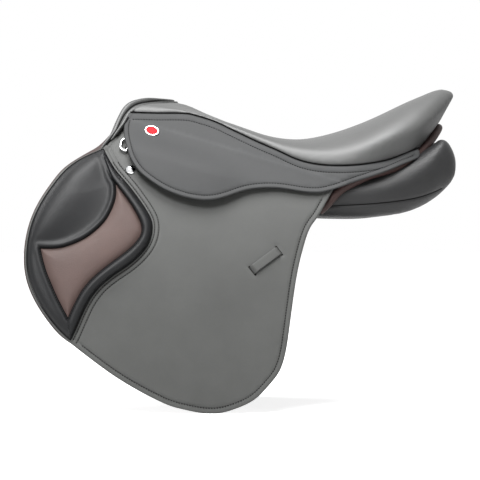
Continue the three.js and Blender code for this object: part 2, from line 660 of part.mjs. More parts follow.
// The finger ends in a tongue, and the catch's fork straddles it on a pin.
function stirrupBar() {
  const tongue = boxAt([14, 2.6, 8], [BAR_X + BAR_PIVOT_X - 1, barY(9), BAR_Z]);
  const bore = new THREE.CylinderGeometry(1.9, 1.9, 20, 12).translate(BAR_X + BAR_PIVOT_X, barY(9), BAR_Z);
  return cut(join(barSolid(0), tongue), bore);
}
function barCatch() {
  const profile = new THREE.Shape();
  profile.absarc(0, 0, 4.6, Math.PI / 2, -Math.PI / 2, false);
  profile.lineTo(9, -4);
  profile.quadraticCurveTo(13.4, -3, 12.4, 3.2);
  profile.lineTo(9.5, 4);
  profile.closePath();
  const plate = new THREE.ExtrudeGeometry(profile, { depth: 8, curveSegments: 8, bevelEnabled: false });
  plate.rotateX(Math.PI / 2).translate(0, 4, 0);
  const fork = boxAt([17, 4, 20], [-0.5, 0, 0]);
  const pin = new THREE.CylinderGeometry(1.6, 1.6, 7.6, 12);
  const lever = join(cut(plate, fork), pin);
  return lever.translate(BAR_X + BAR_PIVOT_X, barY(9), BAR_Z);
}

// The dee: a bow, and a straight bar held by a leather staple whose tab runs back under the skirt's
// front edge.
const DEE_SPIN = 0.22;
const DEE_OUT = FLAP[1] + 2 + DEE.wire;
function dee() {
  const half = DEE.straight / 2;
  const bow = spline3([
    [0, 0, -half], [-4, 0, -half], [-DEE.reach + 1, 0, -half + 3], [-DEE.reach, 0, -half + 7],
    [-DEE.reach, 0, half - 7], [-DEE.reach + 1, 0, half - 3], [-4, 0, half], [0, 0, half],
  ]);
  const straight = bar(new THREE.LineCurve3(vec(0, 0, -half - 1), vec(0, 0, half + 1)), DEE.wire, 1, 4);
  const ring = join(bar(bow, DEE.wire, 14, 3), straight);
  return placeOnSide(ring, DEE.x, DEE.z, DEE_OUT, DEE_SPIN);
}

function deeStaple() {
  const tab = new THREE.Shape();
  const r = DEE.wire + 1.5;
  const foot = FLAP[1] + 0.3 - DEE_OUT;
  tab.moveTo(-r, foot);
  tab.lineTo(16, foot);
  tab.lineTo(16, foot + 0.8);
  tab.lineTo(r, foot + 0.8);
  tab.lineTo(r - 1, r);
  tab.lineTo(-r + 1, r);
  tab.lineTo(-r, r - 1);
  tab.closePath();
  tab.holes.push(new THREE.Path().absarc(0, 0, DEE.wire + 0.4, 0, 2 * Math.PI));
  const loop = new THREE.ExtrudeGeometry(tab, { depth: 11, curveSegments: 5, bevelEnabled: false });
  loop.translate(0, 0, -5.5);
  return placeOnSide(loop, DEE.x, DEE.z, DEE_OUT, DEE_SPIN);
}

// An oval button on the skirt.
const BADGE = { x: -131, z: 394.5, length: 19, width: 13 };
function badge() {
  const profile = [[0, 0], [1, 0], [1, 0.45], [0.86, 0.8], [0, 1]];
  const button = new THREE.LatheGeometry(profile.map(([r, h]) => new THREE.Vector2(r, h)), 20);
  button.scale(BADGE.length / 2, 2.4, BADGE.width / 2);
  return placeOnSide(button, BADGE.x, BADGE.z, SKIRT[1] + skirtSwell(BADGE.x, BADGE.z) + 1.6, 0.1);
}

// ---- Assembly -----------------------------------------------------------------------------------
const saddle = new THREE.Group();
const materials = Object.fromEntries(
  Object.entries(COLOURS).map(([name, values]) => [name, new THREE.MeshStandardMaterial(values)]),
);
function add(name, geometry, material) {
  const mesh = new THREE.Mesh(geometry, materials[material]);
  mesh.name = name;
  saddle.add(mesh);
}
function addPair(name, geometry, material) {
  add(`${name}_left`, geometry, material);
  add(`${name}_right`, mirrored(geometry), material);
}

const barClearance = barSolid(0.6);
const treeTools = [barClearance, screwHole()];
add("tree", cut(tree(), ...treeTools, ...treeTools.map(mirrored)), "tree");
add("gullet_plate", cut(gulletPlate(), screwHole(), mirrored(screwHole())), "steel");
addPair("gullet_screw", gulletScrew(), "steel");
add("ground_web", groundWeb(), "webbing");
add("seat_foam", seatFoam(), "foam");
add("seat_cover", seatCover(), "black_leather");
add("head_welt_front", headWelt(FRONT_WELT), "black_leather");
add("head_welt_rear", headWelt(REAR_WELT), "black_leather");
add("rear_facing", rearFacing(), "brown_leather");
add("gullet_lining", gulletLining(), "black_leather");
addPair("panel", panel(), "black_leather");
addPair("sweat_flap", sweatFlap(), "brown_leather");
addPair("knee_roll", kneeRoll(), "black_leather");
addPair("thigh_block", thighBlock(), "black_leather");
addPair("girth_web", girthWeb(), "webbing");
["front", "middle", "rear"].forEach((place, i) => {
  addPair(`girth_strap_${place}`, girthStrap(STRAP_X[i]), "black_leather");
});
addPair("buckle_guard", buckleGuard(), "black_leather");
addPair("flap_head", flapHead(), "black_leather");
addPair("flap", flap(), "black_leather");
addPair("knee_pad", kneePad(), "black_leather");
addPair("knee_insert", kneeInsert(), "brown_leather");
addPair("flap_keeper", keeper(), "black_leather");
addPair("flap_stud", stud(), "chrome");
addPair("skirt_head", skirtHead(), "black_leather");
addPair("skirt", skirt(), "black_leather");
addPair("badge", badge(), "badge");
addPair("stirrup_bar", stirrupBar(), "steel");
addPair("bar_catch", barCatch(), "steel");
addPair("dee", dee(), "chrome");
addPair("dee_staple", deeStaple(), "black_leather");

export default saddle;
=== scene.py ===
import math

import bpy
import numpy as np
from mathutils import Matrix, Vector
from mathutils.bvhtree import BVHTree
from mathutils.geometry import delaunay_2d_cdt


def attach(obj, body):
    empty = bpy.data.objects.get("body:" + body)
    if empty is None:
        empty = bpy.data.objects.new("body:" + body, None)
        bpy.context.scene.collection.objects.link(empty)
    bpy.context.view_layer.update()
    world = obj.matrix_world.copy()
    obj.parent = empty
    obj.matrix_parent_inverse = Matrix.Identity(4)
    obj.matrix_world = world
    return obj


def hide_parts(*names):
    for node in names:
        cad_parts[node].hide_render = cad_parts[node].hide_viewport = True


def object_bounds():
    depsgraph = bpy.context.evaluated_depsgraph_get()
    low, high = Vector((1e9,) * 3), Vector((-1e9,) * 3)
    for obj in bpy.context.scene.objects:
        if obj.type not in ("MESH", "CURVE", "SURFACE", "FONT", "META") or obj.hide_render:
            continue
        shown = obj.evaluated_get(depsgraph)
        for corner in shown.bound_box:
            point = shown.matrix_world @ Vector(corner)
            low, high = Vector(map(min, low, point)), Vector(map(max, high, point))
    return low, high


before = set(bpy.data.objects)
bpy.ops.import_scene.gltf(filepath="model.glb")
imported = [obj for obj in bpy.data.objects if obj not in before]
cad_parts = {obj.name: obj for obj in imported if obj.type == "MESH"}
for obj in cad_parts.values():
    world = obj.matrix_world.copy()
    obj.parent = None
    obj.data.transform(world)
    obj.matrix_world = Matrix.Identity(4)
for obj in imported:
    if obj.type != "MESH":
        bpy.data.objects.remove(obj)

cad_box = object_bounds()
MM = 0.001
SIDES = {"left": 1, "right": -1}

# ---- Driving dimensions, in millimetres ----------------------------------------------------------
FOLD_FRONT = (-170, 50, 416)  # front end of the line that the flap and skirt fold on
FOLD_REAR = (144, 122, 320)  # x, half width, z, as for the front end
FLARE_Y = 200  # half width that the side nears far below the fold
FLARE_FALL = 190  # depth over which it does so
FLAP_THICK = 4
SKIRT_THICK = 4.2
SKIRT_OUT = 9  # outer face of the skirt at the fold, above the flap's inner face
GRID = 4.0  # spacing of the points inside a sheet
SHARP_ANGLE = 62  # degrees between faces from which an edge is shaded sharp


# ---- Curves --------------------------------------------------------------------------------------
def cubic(points, t):
    """The smooth curve through the control points, at shares t of its length counted in control points."""
    p = np.array(points, float)
    n = len(p)
    a = np.eye(n)
    b = np.zeros_like(p)
    for i in range(1, n - 1):
        a[i, i - 1 : i + 2] = 1, 4, 1
        b[i] = 6 * (p[i - 1] - 2 * p[i] + p[i + 1])
    m = np.linalg.solve(a, b)
    s = np.clip(np.asarray(t, float) * (n - 1), 0, n - 1 - 1e-9)
    i = s.astype(int)
    f = (s - i)[..., None]
    bend = (m[i] * (1 - f) ** 3 + m[i + 1] * f**3) / 6
    return bend + (p[i] - m[i] / 6) * (1 - f) + (p[i + 1] - m[i + 1] / 6) * f


def resample(line, count):
    """The same polyline with evenly spaced points."""
    steps = np.linalg.norm(np.diff(line, axis=0), axis=1)
    at = np.concatenate([[0], np.cumsum(steps)])
    want = np.linspace(0, at[-1], count)
    return np.stack([np.interp(want, at, line[:, k]) for k in range(line.shape[1])], 1)


def length_of(line):
    return float(np.linalg.norm(np.diff(line, axis=0), axis=1).sum())


def curve(points, step=3.0, smooth=0):
    """A smooth open curve with a point about every step."""
    fine = cubic(points, np.linspace(0, 1, 40 * len(points)))
    line = resample(fine, max(4, int(length_of(fine) / step) + 1))
    for _ in range(smooth):
        line[1:-1] = 0.5 * line[1:-1] + 0.25 * (line[:-2] + line[2:])
    return line


def closed(*curves):
    """One closed outline from curves that meet end to end."""
    line = np.concatenate([c[:-1] for c in curves])
    keep = np.linalg.norm(line - np.roll(line, 1, axis=0), axis=1) > 0.3
    return line[keep]


def inward(line, is_closed=True):
    """Unit normals of a polyline, to the left of its direction."""
    if is_closed:
        d = np.roll(line, -1, axis=0) - np.roll(line, 1, axis=0)
    else:
        d = np.gradient(line, axis=0)
    d /= np.linalg.norm(d, axis=1)[:, None] + 1e-12
    return np.stack([-d[:, 1], d[:, 0]], 1)


def area_of(line):
    x, y = line[:, 0], line[:, 1]
    return 0.5 * float(np.sum(x * np.roll(y, -1) - y * np.roll(x, -1)))


def turned(line):
    """The closed outline, running anticlockwise."""
    return line if area_of(line) > 0 else line[::-1]


def distance(q, line, is_closed=False):
    """Distance of each point to the polyline."""
    a = line
    b = np.roll(line, -1, axis=0)
    if not is_closed:
        a, b = line[:-1], line[1:]
    best = np.full(len(q), 1e18)
    ab = b - a
    norm = (ab**2).sum(1) + 1e-12
    for k in range(0, len(q), 2000):
        part = q[k : k + 2000, None, :] - a[None]
        t = np.clip((part * ab).sum(2) / norm, 0, 1)
        best[k : k + 2000] = ((part - t[..., None] * ab) ** 2).sum(2).min(1)
    return np.sqrt(best)


def beside(line, off, is_closed=False):
    """Points a distance off to the left of a polyline, without those that come nearer to it elsewhere."""
    row = line + inward(line, is_closed) * off
    return row[np.abs(distance(row, line, is_closed) - abs(off)) < 0.05]


def inside(q, line):
    """Whether each point lies inside the closed outline."""
    hit = np.zeros(len(q), bool)
    x, y = q[:, 0], q[:, 1]
    for (x0, y0), (x1, y1) in zip(line, np.roll(line, -1, axis=0)):
        if y0 != y1:
            hit ^= ((y0 > y) != (y1 > y)) & (x < (x1 - x0) * (y - y0) / (y1 - y0) + x0)
    return hit


def smoothstep(a, b, x):
    t = np.clip((x - a) / (b - a), 0, 1)
    return t * t * (3 - 2 * t)


def bell(x, spread):
    return np.exp(-((x / spread) ** 2))


def unit(rows):
    """Each row scaled to length 1."""
    return rows / np.linalg.norm(rows, axis=1)[:, None]


# ---- The curved side of the saddle ---------------------------------------------------------------
def fold_share(x):
    return (x - FOLD_FRONT[0]) / (FOLD_REAR[0] - FOLD_FRONT[0])


def fold_y(x):
    return FOLD_FRONT[1] + (FOLD_REAR[1] - FOLD_FRONT[1]) * fold_share(x)


def fold_z(x):
    return FOLD_FRONT[2] + (FOLD_REAR[2] - FOLD_FRONT[2]) * fold_share(x)


def width(x, z):
    """Half width of the flap's inner face at a point seen from the side."""
    return fold_y(x) + (FLARE_Y - fold_y(x)) * (1 - np.exp((z - fold_z(x)) / FLARE_FALL))


def slopes(x, z):
    """How fast the half width grows along x and along z."""
    h = 0.5
    sx = (width(x + h, z) - width(x - h, z)) / (2 * h)
    sz = (width(x, z + h) - width(x, z - h)) / (2 * h)
    return sx, sz


def side(x, z, out):
    """Points of the left side at (x, z), a distance out from the flap's inner face."""
    sx, sz = slopes(x, z)
    return np.stack([x, -(width(x, z) + out * np.sqrt(1 + sx**2 + sz**2)), z], -1)


def side_axes(x, z, spin=0.0):
    """Origin on the flap's inner face, then unit axes back along the fold, outwards and across."""
    sx, sz = slopes(x, z)
    outward = Vector((-sx, -1, -sz)).normalized()
    fold = (Vector(FOLD_REAR) - Vector(FOLD_FRONT)) * Vector((1, -1, 1))
    along = (fold - outward * fold.dot(outward)).normalized()
    along = along * math.cos(spin) + outward.cross(along) * math.sin(spin)
    return [np.array(v) for v in (side(x, z, 0.0), along, outward, along.cross(outward))]


def place(local, x, z, out, spin=0.0):
    """Local points (along, outward, across) put on the left side."""
    origin, along, outward, across = side_axes(x, z, spin)
    local = np.asarray(local, float)
    return origin + local[:, :1] * along + (local[:, 1:2] + out) * outward + local[:, 2:] * across


# ---- Meshes --------------------------------------------------------------------------------------
def new_object(name, verts, faces, material):
    """A mesh object in metres from points in millimetres."""
    mesh = bpy.data.meshes.new(name)
    mesh.from_pydata((np.asarray(verts) * MM).tolist(), [], [tuple(int(i) for i in f) for f in faces])
    mesh.update()
    mesh.polygons.foreach_set("use_smooth", np.ones(len(mesh.polygons), bool))
    mesh.set_sharp_from_angle(angle=math.radians(SHARP_ANGLE))
    obj = bpy.data.objects.new(name, mesh)
    bpy.context.scene.collection.objects.link(obj)
    obj.data.materials.append(material)
    return obj


def single(name, verts, faces, material, nodes=(), body="saddle"):
    """A piece that rides on a body, stands for its CAD nodes and takes the given material."""
    obj = new_object(name, verts, faces, material)
    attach(obj, body)
    if nodes:
        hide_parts(*nodes)
    return obj


def pair(name, verts, faces, material, body, nodes=()):
    """The left piece and its mirror image, each riding on its side's body and standing for its CAD nodes."""
    made = {}
    for side_name, sign in SIDES.items():
        points = np.array(verts) * (1, sign, 1)
        order = faces if sign > 0 else [tuple(reversed(f)) for f in faces]
        own_nodes = [f"{node}_{side_name}" for node in nodes]
        own_body = body.format(side=side_name)
        made[side_name] = single(f"{side_name}_{name}", points, order, material, own_nodes, own_body)
    return made


def positions(mesh):
    """The mesh's points in metres, as rows."""
    co = np.zeros(len(mesh.vertices) * 3)
    mesh.vertices.foreach_get("co", co)
    return co.reshape(-1, 3)


def grid_faces(rows, cols, wrap_rows=False, wrap_cols=False):
    """Four-sided faces between rows of points."""
    faces = []
    for i in range(rows if wrap_rows else rows - 1):
        for j in range(cols if wrap_cols else cols - 1):
            a, b = i * cols + j, i * cols + (j + 1) % cols
            c, d = ((i + 1) % rows) * cols + (j + 1) % cols, ((i + 1) % rows) * cols + j
            faces.append((a, b, c, d))
    return faces


def add_end_caps(verts, faces, count, first, last):
    """Closes the first and last row of count points with triangles round two new points."""
    base = len(verts) - count
    start, end = len(verts), len(verts) + 1
    verts += [first, last]
    for j in range(count):
        faces.append((start, (j + 1) % count, j))
        faces.append((end, base + j, base + (j + 1) % count))


def outward_faces(verts, faces):
    """Faces turned so that the closed mesh encloses a positive volume."""
    v = np.asarray(verts)
    total = 0.0
    for f in faces:
        for k in range(1, len(f) - 1):
            total += v[f[0]].dot(np.cross(v[f[k]], v[f[k + 1]]))
    return faces if total > 0 else [tuple(reversed(f)) for f in faces]


def tube(path, radii, sides, normals=None):
    """A closed tube along a path. radii gives two half axes at each point: along the normal and across it."""
    path = np.asarray(path, float)
    if normals is None:
        normals = [np.array([0.0, 0.0, 1.0])] * len(path)
    angle = np.linspace(0, 2 * math.pi, sides, endpoint=False)
    verts = []
    for p, d, n, (rn, ra) in zip(path, unit(np.gradient(path, axis=0)), normals, radii):
        n = n - d * n.dot(d)
        n /= np.linalg.norm(n)
        across = np.cross(d, n)
        verts += [p + rn * math.cos(a) * n + ra * math.sin(a) * across for a in angle]
    faces = grid_faces(len(path), sides, wrap_cols=True)
    add_end_caps(verts, faces, sides, path[0], path[-1])
    return verts, outward_faces(verts, faces)


def cord(path, radius, sides=8):
    """A closed round tube of one radius."""
    return tube(path, [(radius, radius)] * len(path), sides)


def joined(parts):
    """Several meshes as one."""
    verts, faces = [], []
    for v, f in parts:
        base = len(verts)
        verts += list(v)
        faces += [tuple(base + i for i in face) for face in f]
    return verts, faces


def lattice_inside(outline, spacing):
    """Points of a triangular lattice inside an outline."""
    row_height = 0.866
    lo, hi = outline.min(0), outline.max(0)
    nx = int((hi[0] - lo[0]) / spacing) + 2
    nz = int((hi[1] - lo[1]) / (spacing * row_height)) + 2
    ii, jj = np.meshgrid(np.arange(nx), np.arange(nz), indexing="ij")
    x = lo[0] + (ii + 0.5 * (jj % 2)) * spacing
    z = lo[1] + jj * spacing * row_height
    points = np.stack([x, z], -1).reshape(-1, 2)
    return points[inside(points, outline)]


def sheet(outline, top, under, rings=(), lines=(), spacing=None, holes=(), edge=None, cut=None):
    """A closed sheet of leather, drawn in the side view. top and under give 3-D points for (x, z, d), where
    d is the distance to the free edge (the whole outline by default). rings are distances inside the edge
    that get rows of points of their own, and lines are (path, offsets) that do too. The two surfaces meet on
    the outline, except at outline points where cut(x, z) is true: there a wall joins them."""
    spacing = spacing or GRID
    outline = turned(np.asarray(outline, float))
    edge_closed = edge is None
    edge = outline if edge is None else edge
    signs = (1,) if edge_closed else (1, -1)
    rows = [beside(edge, r * sign, edge_closed) for r in rings for sign in signs]
    rows += [beside(path, r) for path, offsets in lines for r in offsets]
    lattice = lattice_inside(outline, spacing)
    if len(rings):
        lattice = lattice[distance(lattice, edge, edge_closed) > max(rings) + 0.5 * spacing]
    lattice = lattice[distance(lattice, outline, True) > 0.45 * spacing]
    for path, offsets in lines:
        lattice = lattice[distance(lattice, path) > max(abs(o) for o in offsets) + 0.45 * spacing]
    for hole in holes:
        lattice = lattice[(distance(lattice, hole, True) > 0.4 * spacing) & ~inside(lattice, hole)]
    inner = np.concatenate(rows + [lattice])
    ok = inside(inner, outline) & (distance(inner, outline, True) > 0.1)
    for hole in holes:
        ok &= ~inside(inner, hole) & (distance(inner, hole, True) > 0.3)
    inner = inner[ok]
    _, first = np.unique(np.round(inner / 0.3).astype(int), axis=0, return_index=True)
    inner = inner[np.sort(first)]
    loops = [outline] + [turned(np.asarray(h, float)) for h in holes]
    flat = np.concatenate(loops + [inner])
    edges, start = [], 0
    for loop in loops:
        edges += [(start + i, start + (i + 1) % len(loop)) for i in range(len(loop))]
        start += len(loop)
    found = delaunay_2d_cdt([Vector(p) for p in flat], edges, [], 0, 1e-6)
    xz = np.array([tuple(v) for v in found[0]])
    tris = np.array(found[2])
    middle = xz[tris].mean(1)
    keep = inside(middle, outline)
    for hole in holes:
        keep &= ~inside(middle, hole)
    tris = tris[keep]
    a, b, c = xz[tris[:, 0]], xz[tris[:, 1]], xz[tris[:, 2]]
    flip = (b[:, 0] - a[:, 0]) * (c[:, 1] - a[:, 1]) - (b[:, 1] - a[:, 1]) * (c[:, 0] - a[:, 0]) < 0
    tris[flip] = tris[flip][:, ::-1]
    where = {k: i for i, ids in enumerate(found[3]) for k in ids}
    d = distance(xz, edge, edge_closed)
    rim = np.array([where[i] for i in range(len(outline))])
    is_cut = np.zeros(len(xz), bool)
    if cut is not None:
        is_cut[rim] = cut(xz[rim, 0], xz[rim, 1])
    free = rim[~is_cut[rim]]
    upper, lower = top(xz[:, 0], xz[:, 1], d), under(xz[:, 0], xz[:, 1], d)
    n = len(xz)
    second = np.arange(n, 2 * n)
    second[free] = free
    verts = np.concatenate([upper, lower])
    verts[free] = 0.5 * (upper[free] + lower[free])
    faces = [tuple(t) for t in tris] + [tuple(second[t][::-1]) for t in tris]

    def wall(p, q):
        face = [q, p, second[p], second[q]]
        face = [f for i, f in enumerate(face) if f not in face[:i]]
        if len(face) > 2:
            faces.append(tuple(face))

    start = 0
    for k, loop in enumerate(loops):
        ids = [where[start + i] for i in range(len(loop))]
        for i in range(len(loop)):
            p, q = ids[i], ids[(i + 1) % len(loop)]
            wall(p, q) if k == 0 else wall(q, p)
        start += len(loop)
    used = np.unique(np.concatenate([np.array(f) for f in faces]))
    index = np.zeros(2 * n, int)
    index[used] = np.arange(len(used))
    return verts[used], [tuple(int(index[i]) for i in f) for f in faces]


def round_edge(d, thick):
    """Half thickness at a distance from a rounded edge."""
    t = np.clip(d / (thick / 2), 0, 1)
    return thick / 2 * np.sqrt(np.clip(1 - (1 - t) ** 2, 0, 1))


def stitches(path, normals, pitch=3.8, stitch=2.7):
    """Short thread stitches along a path, each a small closed capsule lying on the surface."""
    radius, lifted, sides = 0.62, 0.1, 6
    count = max(2, int(length_of(path) / pitch))
    even = resample(np.concatenate([path, normals], 1), count + 1)
    parts = []
    half = [(0.2, 1.0, 0.15), (0.42, 0.7, -0.1), (0.5, 0.05, -0.35)]
    rings = [(-a, r, lift) for a, r, lift in half[::-1]] + half
    angles = np.linspace(0, 2 * math.pi, sides, endpoint=False)
    for k in range(count):
        a, b = even[k], even[k + 1]
        p = 0.5 * (a[:3] + b[:3])
        d = b[:3] - a[:3]
        d /= np.linalg.norm(d) + 1e-9
        n = 0.5 * (a[3:] + b[3:])
        n -= d * n.dot(d)
        n /= np.linalg.norm(n) + 1e-9
        across = np.cross(d, n)
        verts = []
        for s, r, lift in rings:
            c = p + d * (s * stitch) + n * (lift * radius + lifted)
            verts += [c + radius * r * (math.cos(t) * n + math.sin(t) * across) for t in angles]
        faces = grid_faces(len(rings), sides, wrap_cols=True)
        faces += [tuple(range(sides))[::-1], tuple(range(len(verts) - sides, len(verts)))]
        parts.append((verts, outward_faces(verts, faces)))
    return joined(parts)


def side_normals(x, z):
    """Outward normals of the curved side."""
    sx, sz = slopes(x, z)
    return unit(np.stack([-sx, -np.ones_like(x), -sz], -1))


# ---- Materials -----------------------------------------------------------------------------------
def shader(name, base, rough, metallic=0.0, spec=0.5):
    """A material with a Principled shader, helpers that add and link its nodes, and object coordinates."""
    mat = bpy.data.materials.new(name)
    mat.use_nodes = True
    tree = mat.node_tree
    principled = tree.nodes["Principled BSDF"]
    principled.inputs["Base Color"].default_value = (*base, 1)
    principled.inputs["Roughness"].default_value = rough
    principled.inputs["Metallic"].default_value = metallic
    principled.inputs["Specular IOR Level"].default_value = spec

    def add(kind, links=None, **values):
        node = tree.nodes.new(kind)
        for key, value in values.items():
            if hasattr(node, key) and key not in node.inputs:
                setattr(node, key, value)
            else:
                node.inputs[key.replace("_", " ")].default_value = value
        for socket, source in (links or {}).items():
            tree.links.new(source, node.inputs[socket])
        return node

    def link(source, socket):
        tree.links.new(source, principled.inputs[socket])

    return mat, add, link, add("ShaderNodeTexCoord").outputs["Object"]


def blend_colours(add, factor, low, high):
    ramp = add("ShaderNodeValToRGB", {"Fac": factor})
    ramp.color_ramp.elements[0].color = (*low, 1)
    ramp.color_ramp.elements[1].color = (*high, 1)
    return ramp


def shade(colour, factor):
    return tuple(c * factor for c in colour)


def roughen(add, link, height, strength, depth):
    """Bump from a height, as the material's normal."""
    bump = add("ShaderNodeBump", {"Height": height}, Strength=strength, Distance=depth)
    link(bump.outputs["Normal"], "Normal")


BLACK, WHITE = (0,) * 3, (1,) * 3


def leather(name, base, rough=0.42, grain=0.0011, depth=0.25, mottle=0.12, pebble=0.0, worn=1.35, spec=0.5):
    """Dyed leather: fine pores, optional pebbling, cloudy colour, polish that varies, and paler worn edges.
    grain is the size of its cells in metres and depth the strength of its relief."""
    mat, add, link, coords = shader(name, base, rough, spec=spec)
    clouds = add("ShaderNodeTexNoise", {"Vector": coords}, Scale=14.0, Detail=6.0, Roughness=0.6)
    speck = add("ShaderNodeTexNoise", {"Vector": coords}, Scale=420.0, Detail=3.0, Roughness=0.6)
    tone = blend_colours(add, clouds.outputs["Fac"], shade(base, 1 - mottle), shade(base, 1 + mottle))
    tone.color_ramp.elements[0].position = 0.3
    tone.color_ramp.elements[1].position = 0.7
    flecks = blend_colours(add, speck.outputs["Fac"], (0.3,) * 3, (0.7,) * 3)
    layers = {"Color1": tone.outputs["Color"], "Color2": flecks.outputs["Color"]}
    fleck = add("ShaderNodeMixRGB", layers, blend_type="OVERLAY", Fac=0.14)
    # edges rub paler
    point = add("ShaderNodeNewGeometry")
    wear = blend_colours(add, point.outputs["Pointiness"], BLACK, WHITE)
    wear.color_ramp.elements[0].position = 0.515
    wear.color_ramp.elements[1].position = 0.6
    rubbed = add("ShaderNodeMixRGB", {"Fac": wear.outputs["Color"], "Color1": fleck.outputs["Color"]})
    rubbed.inputs["Color2"].default_value = (*[min(1, c * worn) for c in base], 1)
    link(rubbed.outputs["Color"], "Base Color")
    # polish
    low, high = rough - 0.07, rough + 0.08
    gloss = add("ShaderNodeMapRange", {"Value": clouds.outputs["Fac"]}, To_Min=low, To_Max=high)
    link(gloss.outputs["Result"], "Roughness")
    # relief: pores, then a crackle of cells, then slow waves of the hide
    cells = add("ShaderNodeTexVoronoi", {"Vector": coords}, feature="DISTANCE_TO_EDGE", Scale=1 / grain)
    valley = blend_colours(add, cells.outputs["Distance"], BLACK, WHITE)
    valley.color_ramp.elements[1].position = 0.22
    pores = add("ShaderNodeTexNoise", {"Vector": coords}, Scale=0.9 / grain, Detail=4.0, Roughness=0.65)
    layers = {"Color1": pores.outputs["Fac"], "Color2": valley.outputs["Color"]}
    relief = add("ShaderNodeMixRGB", layers, Fac=0.25 + 0.6 * pebble)
    bump = add("ShaderNodeBump", {"Height": relief.outputs["Color"]}, Strength=depth, Distance=0.0004)
    waves = add("ShaderNodeTexNoise", {"Vector": coords}, Scale=24.0, Detail=3.0)
    layers = {"Height": waves.outputs["Fac"], "Normal": bump.outputs["Normal"]}
    slow = add("ShaderNodeBump", layers, Strength=0.12, Distance=0.004)
    link(slow.outputs["Normal"], "Normal")
    return mat


def metal(name, base, rough, scratch=0.06):
    """Plated metal with faint smears and fine scratches."""
    mat, add, link, coords = shader(name, base, rough, metallic=1.0)
    smear = add("ShaderNodeTexNoise", {"Vector": coords}, Scale=160.0, Detail=5.0)
    low, high = max(0.02, rough - 0.05), rough + 0.1
    gloss = add("ShaderNodeMapRange", {"Value": smear.outputs["Fac"]}, To_Min=low, To_Max=high)
    link(gloss.outputs["Result"], "Roughness")
    tone = blend_colours(add, smear.outputs["Fac"], shade(base, 0.9), base)
    link(tone.outputs["Color"], "Base Color")
    fine = add("ShaderNodeTexNoise", {"Vector": coords}, Scale=1800.0, Detail=2.0)
    roughen(add, link, fine.outputs["Fac"], scratch, 0.0002)
    return mat


def woven(name, base, pitch=0.0016):
    """Plain-woven webbing, from two crossed waves."""
    mat, add, link, coords = shader(name, base, 0.85)
    warp = add("ShaderNodeTexWave", {"Vector": coords}, bands_direction="X", Scale=0.16 / pitch * 2)
    weft = add("ShaderNodeTexWave", {"Vector": coords}, bands_direction="Z", Scale=0.16 / pitch * 2)
    layers = {"Color1": warp.outputs["Color"], "Color2": weft.outputs["Color"]}
    mix = add("ShaderNodeMixRGB", layers, blend_type="MULTIPLY", Fac=0.8)
    tone = blend_colours(add, mix.outputs["Color"], shade(base, 0.55), base)
    link(tone.outputs["Color"], "Base Color")
    roughen(add, link, mix.outputs["Color"], 0.5, 0.0005)
    return mat


def cellular(name, base, size, rough, spec=0.5):
    """Moulding or enamel: small cells in the surface and a cloudy colour."""
    mat, add, link, coords = shader(name, base, rough, spec=spec)
    cells = add("ShaderNodeTexVoronoi", {"Vector": coords}, Scale=1 / size)
    clouds = add("ShaderNodeTexNoise", {"Vector": coords}, Scale=30.0, Detail=4.0)
    tone = blend_colours(add, clouds.outputs["Fac"], shade(base, 0.8), base)
    link(tone.outputs["Color"], "Base Color")
    roughen(add, link, cells.outputs["Distance"], 0.3, 0.0006)
    return mat


def thread(name, base):
    """Waxed linen thread, with its twist as fine bands."""
    mat, add, link, coords = shader(name, base, 0.7, spec=0.15)
    twist = add("ShaderNodeTexWave", {"Vector": coords}, bands_direction="DIAGONAL", Scale=320.0)
    tone = blend_colours(add, twist.outputs["Color"], shade(base, 0.6), shade(base, 1.5))
    link(tone.outputs["Color"], "Base Color")
    roughen(add, link, twist.outputs["Color"], 0.4, 0.0002)
    return mat


# Leathers: colour, roughness, size of the grain and strength of its relief.
FLAP_LEATHER = leather("flap_leather", (0.055, 0.0564, 0.054), 0.56, 0.0010, 0.38, spec=0.38)
# the skirt leather's faint blue tint is a painted reflection
SKIRT_LEATHER = leather("skirt_leather", (0.037, 0.0379, 0.0386), 0.56, 0.0009, 0.3, spec=0.22)
SEAT_LEATHER = leather("seat_leather", (0.070, 0.071, 0.070), 0.5, 0.0008, 0.2, mottle=0.07, spec=0.6)
WELT_LEATHER = leather("welt_leather", (0.034, 0.035, 0.034), 0.46, 0.0009, 0.16, spec=0.6)
PAD_LEATHER = leather("pad_leather", (0.0055, 0.0058, 0.0066), 0.46, 0.0011, 0.34, pebble=0.4, spec=0.27)
PANEL_LEATHER = leather("panel_leather", (0.012, 0.012, 0.0126), 0.44, 0.0015, 0.4, pebble=0.9, spec=0.41)
STRAP_LEATHER = leather("strap_leather", (0.03, 0.03, 0.029), 0.5, 0.0012, 0.25)
BROWN_LEATHER = leather(
    "brown_leather", (0.078, 0.050, 0.044), 0.52, 0.0016, 0.6, mottle=0.14, pebble=0.8, spec=0.36
)
FACING_LEATHER = leather("facing_leather", (0.036, 0.019, 0.017), 0.52, 0.0014, 0.3, pebble=0.5, spec=0.25)
LINING_LEATHER = leather("lining_leather", (0.085, 0.06, 0.055), 0.6, 0.0013, 0.3, pebble=0.5)
# Near-black leather for dark seam cords, and for cords that are painted shade in the gaps behind the welts
# and along the knee pad's rear edge.
DARK_SEAM_AND_SHADE = leather("dark_seam_and_shade_leather", (0.003, 0.003, 0.003), rough=0.8, worn=1.0, spec=0.1)
THREAD = thread("black_thread", (0.004, 0.004, 0.004))
CHROME = metal("chrome", (0.86, 0.87, 0.88), 0.07)
STEEL = metal("steel", (0.55, 0.56, 0.57), 0.3, 0.2)
ENAMEL = cellular("badge_enamel", (0.50, 0.002, 0.010), 0.002, 0.5, spec=0.12)
SILVER = metal("badge_rim", (0.9, 0.9, 0.9), 0.2)
WEBBING = woven("webbing", (0.55, 0.5, 0.4))
MOULDING = cellular("tree_moulding", (0.03, 0.032, 0.036), 0.0009, 0.55)


